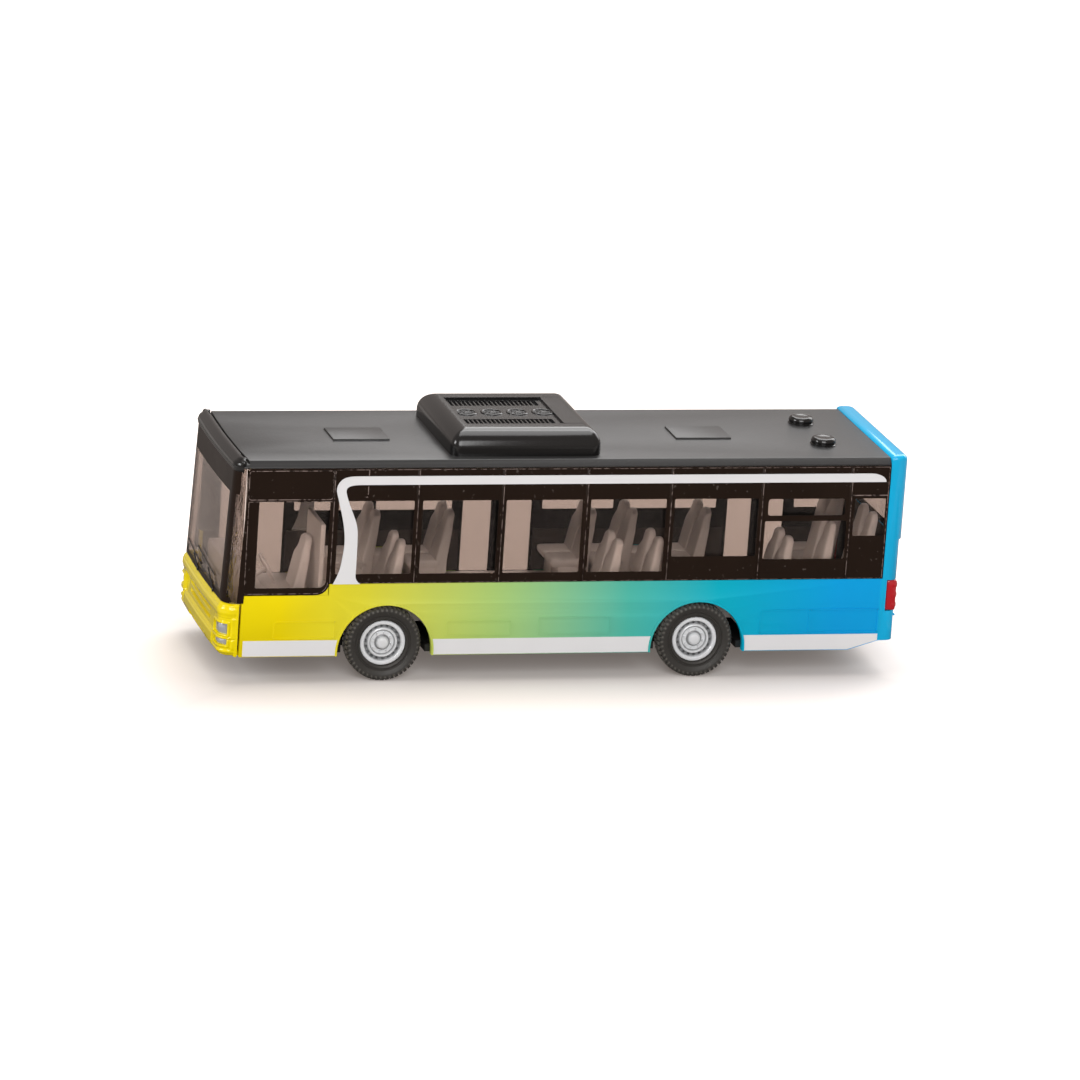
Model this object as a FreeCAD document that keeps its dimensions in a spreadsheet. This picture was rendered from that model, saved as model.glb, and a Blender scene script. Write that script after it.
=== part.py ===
import FreeCAD, Part
import os
import Sketcher

# Toy city bus, in millimetres. +X is forward, +Y is the bus's left, +Z is up.
# The origin is on the ground, under the middle of the body.

SIZES = {
    # Body envelope
    "overall_length": 97.2,
    "body_width": 27.0,
    "nose_reach": 3.3,
    "skirt_height": 3.9,
    "belt_height": 14.2,
    "glass_top": 30.6,
    "roof_thickness": 1.0,
    "wall": 1.0,
    "bow_radius": 260.0,
    "front_corner": 2.0,
    "rear_corner": 1.2,
    "fit": 0.05,
    # Nose and windscreen
    "nose_height": 11.5,
    "seam_gap": 0.3,
    "nose_brow": 0.4,
    "bumper_round": 0.8,
    "screen_step": 0.5,
    "screen_rake": 2.4,
    "screen_thickness": 0.8,
    "wiper_rise": 0.6,
    "wiper_height": 0.45,
    "wiper_depth": 0.3,
    "wiper_length": 8.4,
    "wiper_spread": 10.8,
    "groove_length": 13.0,
    "groove_height": 0.35,
    "groove_depth": 0.35,
    "groove_low": 7.45,
    "groove_pitch": 1.1,
    # Lamps
    "lamp_depth": 0.6,
    "lens_sink": 0.2,
    "lamp_low": 7.05,
    "lamp_high": 8.3,
    "lamp_side": 0.35,
    "lamp_width": 2.85,
    "foglamp_low": 5.6,
    "foglamp_high": 6.05,
    "tail_low": 9.5,
    "tail_high": 14.0,
    "tail_width": 2.2,
    "tail_reach": 1.6,
    # Rear wall
    "rear_depth": 2.5,
    "rear_wall": 1.2,
    "rear_bottom": 5.2,
    "rear_top": 32.0,
    "rear_crown": 0.7,
    "rear_slant": 4.3,
    "rear_window_low": 20.6,
    "rear_window_high": 27.4,
    "rear_window_side": 3.5,
    "lid_top": 19.9,
    "lid_step": 0.25,
    # Glazing and its printed band
    "pane_thickness": 0.8,
    "print_thickness": 0.2,
    "driver_back": 12.0,
    "driver_low": 12.6,
    "door_low": 6.4,
    # Roof
    "roof_bevel": 0.8,
    "rim_width": 1.4,
    "rim_groove": 0.4,
    "hatch_length": 8.0,
    "hatch_width": 6.0,
    "hatch_rise": 0.25,
    "hatch_front": 18.0,
    "hatch_rear_ahead": 24.4,
    "unit_front": 28.8,
    "unit_rear": 50.2,
    "unit_width": 22.4,
    "unit_rise": 3.45,
    "unit_skirt": 0.9,
    "unit_nose": 2.7,
    "unit_tail": 1.9,
    "unit_shoulder": 2.6,
    "unit_corner": 2.0,
    "recess_depth": 0.3,
    "recess_length": 14.6,
    "recess_width": 13.7,
    "slot_row": 4.8,
    "slot_width": 2.6,
    "slot_depth": 0.35,
    "slot_margin": 0.4,
    "recess_front": 0.2,
    "fan_diameter": 3.2,
    "fan_pitch": 3.65,
    "fan_rise": 0.15,
    "fan_first": 1.85,
    "vent_diameter": 3.7,
    "vent_rise": 1.0,
    "vent_round": 0.5,
    "vent_ahead": 7.7,
    "vent_spread": 11.0,
    # Wheels and axles
    "front_axle_back": 20.4,
    "rear_axle_ahead": 26.4,
    "tyre_diameter": 10.7,
    "tyre_width": 3.2,
    "tyre_shoulder": 0.3,
    "wheel_recess": 0.5,
    "rim_diameter": 6.4,
    "rim_recess": 0.6,
    "rim_depth": 2.2,
    "rim_band": 0.5,
    "rim_slope": 0.15,
    "web_depth": 0.5,
    "inner_ring": 4.1,
    "inner_band": 0.25,
    "centre_depth": 0.35,
    "axle_sink": 0.2,
    "axle_diameter": 1.5,
    "running_gap": 0.07,
    "press_gap": 0.01,
    "arch_radius": 6.7,
    "arch_top": 11.1,
    "lip_width": 0.25,
    "lip_rise": 0.12,
    # Chassis plate
    "plate_bottom": 4.1,
    "plate_thickness": 1.0,
    "bearing_gap": 0.6,
    "bearing_width": 2.2,
    "bearing_length": 4.4,
    "bearing_top": 7.2,
    "wheel_gap": 0.6,
    "trough_length": 2.6,
    "rivet_diameter": 2.4,
    "rivet_head": 0.4,
    "rivet_head_diameter": 3.6,
    "rivet_ahead": 12.0,
    "rivet_behind": 13.0,
    "tail_rise": 0.4,
    "post_diameter": 4.4,
    # Cabin
    "floor_top": 8.2,
    "floor_thickness": 0.8,
    "box_wall": 0.5,
    "seat_side": 0.7,
    "seat_length": 4.0,
    "seat_height": 4.2,
    "seat_tuck": 1.2,
    "seat_dip": 0.4,
    "back_thickness": 1.7,
    "back_top": 1.0,
    "headrest_gap": 0.9,
    "headrest_drop": 1.6,
    "driver_inset": 1.9,
    "driver_seat_width": 4.9,
    "driver_seat_height": 11.4,
    "back_lean": 8.0,
    "aisle": 7.0,
    "dash_depth": 3.4,
    "dash_height": 13.4,
    "steering_diameter": 4.6,
    "steering_rim": 0.5,
    "steering_lean": 35.0,
    "steering_back": 1.2,
    "steering_up": 2.4,
    "partition_back": 10.7,
    "partition_gap": 0.3,
    "partition_height": 22.4,
    "partition_thickness": 0.7,
    "driver_seat_back": 7.8,
}

# Clear panes and doors, in millimetres: (front, back), then (low, high). A place is a distance
# behind the side's front edge, or where it is below 0, a distance ahead of the rear line.
PANES_LEFT = (
    (1.7, 11.6, 13.7, 26.0),
    (12.8, 23.4, 15.6, 26.0),
    (24.6, 35.3, 15.6, 26.0),
    (36.4, 47.2, 15.6, 26.0),
    (48.4, 59.2, 15.6, 26.0),
    (-31.0, -18.9, 17.7, 26.0),
    (-17.8, -6.0, 17.2, 22.7),
    (-17.5, -6.3, 23.5, 25.9),
    (-5.0, -0.5, 15.0, 25.9),
)
DOORS_RIGHT = ((2.0, 12.0), (36.5, 47.9), (-16.1, -6.3))
PANES_RIGHT = (
    (2.7, 6.5, 8.0, 26.0),
    (7.5, 11.3, 8.0, 26.0),
    (12.8, 23.4, 17.0, 26.0),
    (24.6, 35.6, 17.0, 26.0),
    (37.2, 41.3, 8.0, 26.0),
    (43.1, 47.2, 8.0, 26.0),
    (48.8, 59.2, 17.0, 26.0),
    (-31.0, -17.0, 17.0, 26.0),
    (-15.3, -11.8, 8.0, 26.0),
    (-10.6, -7.0, 8.0, 26.0),
    (-5.4, -0.5, 17.0, 26.0),
)
# Seats: (place, height of the back above the floor)
SEATS_LEFT = ((20.6, 11.2), (51.6, 11.0), (57.4, 11.2), (-15.2, 11.2), (-9.4, 13.2), (-3.6, 14.6))
SEATS_RIGHT = ((20.6, 11.0), (31.2, 11.0), (51.8, 11.0), (57.8, 11.0), (-22.8, 11.0), (-3.6, 14.6))

doc = FreeCAD.newDocument("toy_city_bus")
sheet = doc.addObject("Spreadsheet::Sheet", "sizes")


def fill_sheet():
    """Write each driving dimension to the sheet under its alias."""
    for row, (alias, value) in enumerate(SIZES.items(), start=1):
        sheet.set(f"A{row}", alias)
        sheet.set(f"B{row}", str(value))
        sheet.setAlias(f"B{row}", alias)
    doc.recompute()


def size(alias):
    """The present value of one driving dimension."""
    return float(sheet.get(alias))


def ref(text):
    """An expression over the sheet's aliases, from the same expression over plain names."""
    words = []
    word = ""
    for letter in text + " ":
        if letter.isalnum() or letter in "_.":
            word += letter
            continue
        words.append("sizes." + word if word in SIZES else word)
        words.append(letter)
        word = ""
    return "".join(words).strip()


def value(text):
    """The present value of an expression over the sheet's aliases."""
    return float(sheet.evalExpression(ref(text)))


# Lines that many pieces share, as expressions over the sheet
NOSE_FACE = "(overall_length / 2)"
REAR_FACE = "(-overall_length / 2)"
EDGE = "(overall_length / 2 - nose_reach)"
HALF = "(body_width / 2)"
REAR_LINE = "(-overall_length / 2 + rear_depth)"
AXLE_HEIGHT = "(tyre_diameter / 2)"
FRONT_AXLE = "(overall_length / 2 - nose_reach - front_axle_back)"
REAR_AXLE = "(-overall_length / 2 + rear_depth + rear_axle_ahead)"
TYRE_FACE = "(body_width / 2 - wheel_recess)"
PLATE_TOP = "(plate_bottom + plate_thickness)"
FLOOR_UNDER = "(floor_top - floor_thickness)"
INSIDE = "(body_width / 2 - wall - 2 * fit)"
GLASS_OUT = "(body_width / 2 - print_thickness)"
ROOF_TOP = "(glass_top + roof_thickness)"
SCREEN_FACE = "(overall_length / 2 - screen_step)"
ROOF_FACE = "(overall_length / 2 - screen_step - (glass_top - nose_height) * tan(screen_rake))"
LOWER_REAR = "(-overall_length / 2 + lid_step)"
WHEEL_INNER = "(body_width / 2 - wheel_recess - tyre_width - wheel_gap)"
WHEEL_REACH = "(tyre_diameter / 2 + wheel_gap)"
BEARING_INNER = (
    "(body_width / 2 - wheel_recess - tyre_width - wheel_gap - bearing_gap - bearing_width)"
)
SEAT_WIDTH = "(body_width / 2 - wall - 2 * fit - seat_side - aisle / 2)"
SEAT_SIDE = "(body_width / 2 - wall - 2 * fit - seat_side)"

LAMPS = (("headlamp", "lamp_low", "lamp_high"), ("foglamp", "foglamp_low", "foglamp_high"))


def bind(obj, prop, text):
    """Bind one property of an object to an expression over the sheet."""
    obj.setExpression(prop, ref(text))


def place(obj, x, y, z):
    """Bind an object's place to three expressions."""
    for axis, text in zip("xyz", (x, y, z)):
        bind(obj, f"Placement.Base.{axis}", text)
    return obj


def box(name, x, y, z):
    """A box between pairs of expressions on each axis."""
    obj = doc.addObject("Part::Box", name)
    for prop, (low, high) in zip(("Length", "Width", "Height"), (x, y, z)):
        bind(obj, prop, f"({high}) - ({low})")
    return place(obj, x[0], y[0], z[0])


def rod(name, radius, start, length, axis="z"):
    """A cylinder from its start point, upward or towards the left."""
    obj = doc.addObject("Part::Cylinder", name)
    bind(obj, "Radius", radius)
    bind(obj, "Height", length)
    if axis == "y":
        obj.Placement.Rotation = FreeCAD.Rotation(FreeCAD.Vector(1, 0, 0), -90)
    return place(obj, *start)


def fuse(name, shapes):
    """One solid from several that meet."""
    obj = doc.addObject("Part::MultiFuse", name)
    obj.Shapes = shapes
    return obj


def common(name, shapes):
    """What several solids share."""
    obj = doc.addObject("Part::MultiCommon", name)
    obj.Shapes = shapes
    return obj


def cut(name, base, tools):
    """A base less its tools."""
    obj = doc.addObject("Part::Cut", name)
    obj.Base = base
    obj.Tool = tools[0] if len(tools) == 1 else fuse(name + "_tools", tools)
    return obj


def group(name, shapes):
    """Separate solids kept as one sub-part."""
    obj = doc.addObject("Part::Compound", name)
    obj.Links = shapes
    return obj


def round_edges(name, base, radius, wanted, kind="Part::Fillet"):
    """Round or bevel the edges of a base that a test picks out."""
    doc.recompute()
    edges = [
        (number, radius, radius)
        for number, edge in enumerate(base.Shape.Edges, start=1)
        if wanted(edge)
    ]
    obj = doc.addObject(kind, name)
    obj.Base = base
    obj.Edges = edges
    return obj


def upright(edge):
    """True for an edge that runs more up than along."""
    ends = [edge.valueAt(edge.FirstParameter), edge.valueAt(edge.LastParameter)]
    run = ends[1] - ends[0]
    return abs(run.z) > 0.9 * run.Length > 0


def block(name, inset, low, high, rear, front=NOSE_FACE, rake="0"):
    """The bus's plan outline, bowed at the front, raised between two heights.

    The front face leans back by the rake above the low height.
    """
    half = f"({HALF} - ({inset}))"
    plan = box(name + "_plan", (rear, f"{NOSE_FACE} + nose_reach"), (f"-{half}", half), (low, high))
    bow = doc.addObject("Part::Cylinder", name + "_bow")
    bind(bow, "Radius", f"bow_radius - ({inset})")
    bind(bow, "Height", "4 * glass_top")
    bow.Placement.Rotation = FreeCAD.Rotation(FreeCAD.Vector(0, -1, 0), 1)
    bind(bow, "Placement.Rotation.Angle", rake)
    place(
        bow,
        f"({front}) - bow_radius + glass_top * sin({rake})",
        "0",
        f"({low}) - glass_top * cos({rake})",
    )
    raw = common(name + "_raw", [plan, bow])
    corner = value(f"front_corner - ({inset})")
    behind = value(f"({rear}) + seam_gap")
    return round_edges(
        name, raw, corner, lambda e: upright(e) and e.CenterOfMass.x > behind
    )


def front_ring(name, outer, inner, zone, low, high, front=NOSE_FACE, rake="0"):
    """A curved slab between two insets of the front outline, within a zone."""
    out = block(name + "_out", outer, low, high, "0", front, rake)
    core = block(name + "_in", inner, low, high, "-1", front, rake)
    return common(name, [cut(name + "_slab", out, [core]), zone])


def back(distance):
    """The X of a place so far behind the side's front edge."""
    return f"({EDGE} - ({distance}))"


def along(distance):
    """The X of a listed place: behind the side's front edge, or ahead of the rear if below 0."""
    return back(str(distance)) if distance >= 0 else f"({REAR_LINE} - ({distance}))"


def arch_tools(name, radius, low, high):
    """Cylinders across the body at both axles, for the wheel arches."""
    centre = "(arch_top - arch_radius)"
    return [
        rod(f"{name}_{key}", radius, (x, low, centre), f"({high}) - ({low})", "y")
        for key, x in (("front", FRONT_AXLE), ("rear", REAR_AXLE))
    ]


def arch_lips(side, y_in, y_out):
    """Thin raised lips round the two arches of one flank."""
    whole = arch_tools(f"lip_{side}", "arch_radius + lip_width", y_in, y_out)
    holes = arch_tools(f"lip_hole_{side}", "arch_radius", f"{y_in} - 1", f"{y_out} + 1")
    lips = []
    for key, ring, hole in zip(("front", "rear"), whole, holes):
        under = box(
            f"lip_under_{side}_{key}",
            (REAR_FACE, NOSE_FACE),
            (f"{y_in} - 1", f"{y_out} + 1"),
            ("-arch_radius", "skirt_height"),
        )
        lips.append(cut(f"lip_{side}_{key}_ring", ring, [hole, under]))
    return lips


def lamp_zone(name, side, slack, low, high):
    """The space of one lamp at one front corner, between two heights."""
    inner = f"({HALF} - lamp_side - lamp_width + {slack})"
    outer = f"({HALF} - lamp_side - {slack})"
    y = (inner, outer) if side > 0 else (f"-{outer}", f"-{inner}")
    return box(
        name,
        (f"{EDGE} + seam_gap + {slack}", f"{NOSE_FACE} + 1"),
        y,
        (f"{low} + {slack}", f"{high} - {slack}"),
    )


def tail_zone(name, side, slack):
    """The space of a tail lamp, wrapped round one rear corner."""
    low = f"({HALF} - tail_width + {slack})"
    high = f"({HALF} + 1)"
    y = (low, high) if side > 0 else (f"-{high}", f"-{low}")
    return box(
        name,
        (f"{REAR_FACE} - 1", f"{LOWER_REAR} + tail_reach - {slack}"),
        y,
        (f"tail_low + {slack}", f"tail_high - {slack}"),
    )


def rear_block(name, inset, low, high, face=LOWER_REAR):
    """The rear body between two heights, rounded at its upright corners."""
    half = f"({HALF} - ({inset}))"
    raw = box(name + "_raw", (f"{face} + ({inset})", REAR_LINE), (f"-{half}", half), (low, high))
    corner = value(f"rear_corner - ({inset})")
    middle = value(f"({face} + ({inset}) + {REAR_LINE}) / 2")
    return round_edges(
        name, raw, corner, lambda e: upright(e) and e.CenterOfMass.x < middle
    )


def rear_wall():
    """The rear wall: a lower part, and a prouder lid with a rounded crown."""
    lower = rear_block("rear_lower", "0", "rear_bottom", "lid_top")
    lid = rear_block("rear_lid", "0", "lid_top", "rear_top", REAR_FACE)
    top = value("rear_top")
    crowned = round_edges(
        "rear_crowned",
        lid,
        size("rear_crown"),
        lambda e: min(v.Z for v in e.Vertexes) > top - 0.01,
    )
    return [lower, crowned]


def body_casting():
    """The painted metal body: both flanks and the rear wall in one piece."""
    shell = box(
        "shell", (REAR_LINE, EDGE), (f"-{HALF}", HALF), ("skirt_height", "belt_height")
    )
    hollow = box(
        "hollow",
        (f"{REAR_LINE} - 1", f"{EDGE} + 1"),
        (f"-{HALF} + wall", f"{HALF} - wall"),
        ("skirt_height - 1", "belt_height + 1"),
    )
    flanks = cut("flanks", shell, [hollow])
    lips = arch_lips("left", f"({HALF} - wall)", f"({HALF} + lip_rise)")
    lips += arch_lips("right", f"(-{HALF} - lip_rise)", f"(-{HALF} + wall)")
    whole = fuse("casting_whole", [flanks] + rear_wall())
    away = arch_tools("arch", "arch_radius", f"-{HALF} - 1", f"{HALF} + 1")
    away.append(
        box(
            "driver_space",
            (back("driver_back"), f"{EDGE} + 1"),
            ("0", f"{HALF} + 1"),
            ("driver_low", "belt_height + 1"),
        )
    )
    for number, (ahead, behind) in enumerate(DOORS_RIGHT):
        away.append(
            box(
                f"door_space_{number}",
                (along(behind), along(ahead)),
                (f"-{HALF} - 1", "0"),
                ("door_low", "belt_height + 1"),
            )
        )
    away.append(
        box(
            "rear_pocket",
            (f"{LOWER_REAR} + rear_wall", f"{REAR_LINE} + 1"),
            (f"-{HALF} + rear_wall", f"{HALF} - rear_wall"),
            (FLOOR_UNDER, f"{ROOF_TOP} - rear_wall"),
        )
    )
    away.append(
        box(
            "rear_window_space",
            (f"{REAR_FACE} - 1", f"{REAR_LINE} + 1"),
            (f"-({HALF} - rear_window_side)", f"{HALF} - rear_window_side"),
            ("rear_window_low", "rear_window_high"),
        )
    )
    for key, side in (("left", 1), ("right", -1)):
        core = rear_block(f"tail_core_{key}", "lamp_depth", "0", "belt_height * 2")
        zone = tail_zone(f"tail_zone_{key}", side, "0")
        away.append(cut(f"tail_pocket_{key}", zone, [core]))
    away.append(slant_tool())
    body = cut("casting_body", whole, away)
    return fuse("body_casting", [body] + lips)


def nose():
    """The painted front mask under the windscreen, with its lamp pockets and grille grooves."""
    low = "skirt_height"
    high = "nose_height"
    out = block("nose_out", "0", low, high, "0")
    behind = value(f"{EDGE} - 1")
    top = value(high)
    bottom = value(low)
    bumper = round_edges(
        "nose_bumper",
        out,
        size("bumper_round"),
        lambda e: max(v.Z for v in e.Vertexes) < bottom + 0.01 and e.BoundBox.XMax > behind,
    )
    brow = round_edges(
        "nose_brow_round",
        bumper,
        size("nose_brow"),
        lambda e: min(v.Z for v in e.Vertexes) > top - 0.01 and e.BoundBox.XMax > behind,
    )
    core = block("nose_core", "wall", f"{low} - 1", f"{high} + 1", "-1")
    away = [core]
    away.append(
        box(
            "nose_behind",
            ("-1", f"{EDGE} + seam_gap"),
            (f"-{HALF} - 1", f"{HALF} + 1"),
            (f"{low} - 1", f"{high} + 1"),
        )
    )
    for key, side in (("left", 1), ("right", -1)):
        for lamp, lamp_low, lamp_high in LAMPS:
            zone = lamp_zone(f"{lamp}_pocket_zone_{key}", side, "0", lamp_low, lamp_high)
            away.append(
                front_ring(f"{lamp}_pocket_{key}", "-0.5", "lamp_depth", zone, low, high)
            )
    for number in range(2):
        groove = f"(groove_low + {number} * groove_pitch)"
        zone = box(
            f"groove_zone_{number}",
            ("0", f"{NOSE_FACE} + 1"),
            ("-groove_length / 2", "groove_length / 2"),
            (groove, f"{groove} + groove_height"),
        )
        away.append(
            front_ring(f"groove_{number}", "-0.5", "groove_depth", zone, low, high)
        )
    return cut("nose", brow, away)


def slant_tool():
    """The wedge that lifts the skirt's lower edge towards the rear."""
    tool = doc.addObject("Part::Wedge", "slant")
    for prop, text in (
        ("Xmin", "0"),
        ("Xmax", "body_width + 2"),
        ("X2min", "0"),
        ("X2max", "body_width + 2"),
        ("Ymin", "0"),
        ("Ymax", "rear_slant"),
        ("Zmin", "0"),
        ("Zmax", "rear_bottom - skirt_height + 1"),
        ("Z2min", "0"),
        ("Z2max", "1"),
    ):
        bind(tool, prop, text)
    tool.Placement.Rotation = FreeCAD.Rotation(FreeCAD.Vector(0, 0, 1), -90)
    return place(tool, REAR_LINE, f"{HALF} + 1", "skirt_height - 1")


def windscreen():
    """The clear moulding that wraps round both front corners."""
    zone = box(
        "screen_zone",
        (f"{EDGE} + seam_gap", f"{NOSE_FACE} + 1"),
        (f"-{HALF} - 1", f"{HALF} + 1"),
        ("nose_height", "glass_top"),
    )
    return front_ring(
        "windscreen",
        "0",
        "screen_thickness",
        zone,
        "nose_height",
        "glass_top",
        SCREEN_FACE,
        "screen_rake",
    )


def side_y(side, low, high):
    """A pair of Y expressions for a slab on one side of the bus."""
    return (low, high) if side > 0 else (f"-({high})", f"-({low})")


def glazing_parts(key, side, low_y, high_y, shrink):
    """The outline of one side's window strip, as boxes that share edges."""
    span = side_y(side, low_y, high_y)
    parts = [
        box(
            f"{key}_strip",
            (f"{REAR_LINE} + {shrink}", f"{EDGE} - {shrink}"),
            span,
            (f"belt_height + {shrink}", "glass_top"),
        )
    ]
    if side > 0:
        parts.append(
            box(
                f"{key}_driver",
                (f"{back('driver_back')} + {shrink}", f"{EDGE} - {shrink}"),
                span,
                (f"driver_low + {shrink}", "belt_height + 1"),
            )
        )
    else:
        for number, (ahead, behind) in enumerate(DOORS_RIGHT):
            parts.append(
                box(
                    f"{key}_door_{number}",
                    (f"{along(behind)} + {shrink}", f"{along(ahead)} - {shrink}"),
                    span,
                    (f"door_low + {shrink}", "belt_height + 1"),
                )
            )
    return parts


def side_glazing(key, side):
    """The clear moulding that makes one side's windows."""
    low_y = f"({GLASS_OUT} - pane_thickness)"
    return fuse(
        f"side_glazing_{key}",
        glazing_parts(f"glazing_{key}", side, low_y, GLASS_OUT, "fit"),
    )


def pane_spaces(key, side):
    """The clear areas of one side, as boxes that go through the printed band."""
    span = side_y(side, f"({HALF} - 2)", f"({HALF} + 2)")
    panes = PANES_LEFT if side > 0 else PANES_RIGHT
    return [
        box(
            f"{key}_pane_{number}",
            (along(behind), along(ahead)),
            span,
            (str(low), str(high)),
        )
        for number, (ahead, behind, low, high) in enumerate(panes)
    ]


def window_print(key, side):
    """The black printed band with the clear panes left open."""
    band = fuse(
        f"print_{key}_band",
        glazing_parts(f"print_{key}", side, GLASS_OUT, HALF, "fit"),
    )
    return cut(f"window_print_{key}", band, pane_spaces(f"print_{key}", side))


def rear_window():
    """The clear pane that fills the opening in the rear wall."""
    half = f"({HALF} - rear_window_side - fit)"
    return box(
        "rear_window",
        (f"{REAR_FACE} + print_thickness", f"{LOWER_REAR} + rear_wall"),
        (f"-{half}", half),
        ("rear_window_low + fit", "rear_window_high - fit"),
    )


def roof_groove():
    """The groove that follows the bow behind the roof's front rim."""
    ahead = rod(
        "groove_ahead",
        "bow_radius - rim_width",
        (f"{ROOF_FACE} - bow_radius", "0", f"{ROOF_TOP} - rim_groove"),
        "rim_groove + 1",
    )
    behind = rod(
        "groove_behind",
        "bow_radius - rim_width - rim_groove",
        (f"{ROOF_FACE} - bow_radius", "0", f"{ROOF_TOP} - rim_groove - 1"),
        "rim_groove + 3",
    )
    zone = box(
        "rim_zone",
        ("0", f"{NOSE_FACE} + 1"),
        (f"-{HALF} - 1", f"{HALF} + 1"),
        ("glass_top", f"{ROOF_TOP} + 1"),
    )
    return common("roof_groove", [cut("groove_ring", ahead, [behind]), zone])


def roof_panel():
    """The black roof moulding, bevelled all round, with two raised hatches."""
    raw = block(
        "roof_raw", "0", "glass_top", ROOF_TOP, f"({REAR_LINE} + fit)", ROOF_FACE, "screen_rake"
    )
    top = value(ROOF_TOP)
    rear = value(f"{REAR_LINE} + 1")
    plate = round_edges(
        "roof_plate",
        raw,
        size("roof_bevel"),
        lambda e: min(v.Z for v in e.Vertexes) > top - 0.01 and e.CenterOfMass.x > rear,
        "Part::Chamfer",
    )
    parts = [cut("roof_grooved", plate, [roof_groove()])]
    for key, x in (("front", back("hatch_front")), ("rear", f"({REAR_LINE} + hatch_rear_ahead)")):
        parts.append(
            box(
                f"hatch_{key}",
                (f"{x} - hatch_length / 2", f"{x} + hatch_length / 2"),
                ("-hatch_width / 2", "hatch_width / 2"),
                (f"{ROOF_TOP} - hatch_rise", f"{ROOF_TOP} + hatch_rise"),
            )
        )
    return fuse("roof_panel", parts)


def plane_of(body, role):
    """One of a body's own origin planes."""
    return [f for f in body.Origin.OriginFeatures if f.Role == role][0]


def outline(body, name, role, points):
    """A closed sketch through points, each bound to a pair of expressions."""
    sketch = body.newObject("Sketcher::SketchObject", name)
    sketch.AttachmentSupport = [(plane_of(body, role), "")]
    sketch.MapMode = "FlatFace"
    places = [FreeCAD.Vector(value(x), value(y), 0) for x, y in points]
    count = len(places)
    for number in range(count):
        sketch.addGeometry(Part.LineSegment(places[number], places[(number + 1) % count]))
    for number in range(count):
        following = (number + 1) % count
        sketch.addConstraint(Sketcher.Constraint("Coincident", number, 2, following, 1))
    for number, (x, y) in enumerate(points):
        for kind, text, now in (
            ("DistanceX", x, places[number].x),
            ("DistanceY", y, places[number].y),
        ):
            label = f"{kind[-1].lower()}_{number}"
            index = sketch.addConstraint(Sketcher.Constraint(kind, -1, 1, number, 1, now))
            sketch.renameConstraint(index, label)
            bind(sketch, f"Constraints.{label}", text)
    return sketch


def roof_hood():
    """The roof unit's long shape: a sloped hood with rounded shoulders and a recess on top."""
    body = doc.addObject("PartDesign::Body", "roof_hood")
    low = ROOF_TOP
    high = f"({ROOF_TOP} + unit_rise)"
    profile = outline(
        body,
        "unit_profile",
        "XZ_Plane",
        [
            (back("unit_rear"), low),
            (back("unit_front"), low),
            (back("unit_front"), f"{low} + unit_skirt"),
            (back("unit_front + unit_nose"), high),
            (back("unit_rear - unit_tail"), high),
            (back("unit_rear"), f"{low} + unit_skirt"),
        ],
    )
    pad = body.newObject("PartDesign::Pad", "unit_pad")
    pad.Profile = profile
    pad.Midplane = True
    bind(pad, "Length", "unit_width")
    doc.recompute()
    side = value("unit_width / 2") - 0.01
    skirt = value(f"{low} + unit_skirt") + 0.1
    names = [
        f"Edge{number}"
        for number, edge in enumerate(pad.Shape.Edges, start=1)
        if edge.CenterOfMass.z > skirt and abs(edge.CenterOfMass.y) > side
    ]
    bevel = body.newObject("PartDesign::Fillet", "unit_shoulders")
    bevel.Base = (pad, names)
    bind(bevel, "Radius", "unit_shoulder")
    doc.recompute()
    inner = "(recess_width / 2)"
    ahead = back("unit_front + unit_nose + recess_front")
    behind = back("unit_front + unit_nose + recess_front + recess_length")
    recess = outline(
        body,
        "unit_recess_outline",
        "XY_Plane",
        [(behind, f"-{inner}"), (ahead, f"-{inner}"), (ahead, inner), (behind, inner)],
    )
    bind(recess, "AttachmentOffset.Base.z", high)
    pocket = body.newObject("PartDesign::Pocket", "unit_recess")
    pocket.Profile = recess
    bind(pocket, "Length", "recess_depth")
    doc.recompute()
    return body


def roof_unit():
    """The air conditioner housing, rounded in plan, with two rows of slots beside the fans."""
    plan = box(
        "unit_plan_box",
        (back("unit_rear"), back("unit_front")),
        ("-unit_width / 2", "unit_width / 2"),
        (ROOF_TOP, f"{ROOF_TOP} + unit_rise + 1"),
    )
    rounded = round_edges("unit_plan", plan, size("unit_corner"), upright)
    whole = common("unit_whole", [roof_hood(), rounded])
    first = "(unit_front + unit_nose + recess_front + slot_margin)"
    last = "(unit_front + unit_nose + recess_front + recess_length - slot_margin)"
    slots = []
    for key, side in (("left", 1), ("right", -1)):
        slots.append(
            box(
                f"slot_{key}",
                (back(last), back(first)),
                side_y(side, "slot_row - slot_width / 2", "slot_row + slot_width / 2"),
                (
                    f"{ROOF_TOP} + unit_rise - recess_depth - slot_depth",
                    f"{ROOF_TOP} + unit_rise + 1",
                ),
            )
        )
    return cut("roof_unit", whole, slots)


def roof_fans():
    """Four fan guards in the recess of the roof unit."""
    floor = f"({ROOF_TOP} + unit_rise - recess_depth)"
    first = "(unit_front + unit_nose + fan_first)"
    fans = [
        rod(
            f"fan_{number}",
            "fan_diameter / 2",
            (back(f"{first} + {number} * fan_pitch"), "0", floor),
            "fan_rise",
        )
        for number in range(4)
    ]
    return group("roof_fans", fans)


def roof_vents():
    """Two low round vents near the rear of the roof."""
    vents = []
    for key, sign in (("left", ""), ("right", "-")):
        raw = rod(
            f"vent_{key}_raw",
            "vent_diameter / 2",
            (f"{REAR_LINE} + vent_ahead", f"{sign}vent_spread / 2", ROOF_TOP),
            "vent_rise",
        )
        top = value(f"{ROOF_TOP} + vent_rise")
        vents.append(
            round_edges(
                f"vent_{key}", raw, size("vent_round"), lambda e: e.CenterOfMass.z > top - 0.01
            )
        )
    return group("roof_vents", vents)


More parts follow.
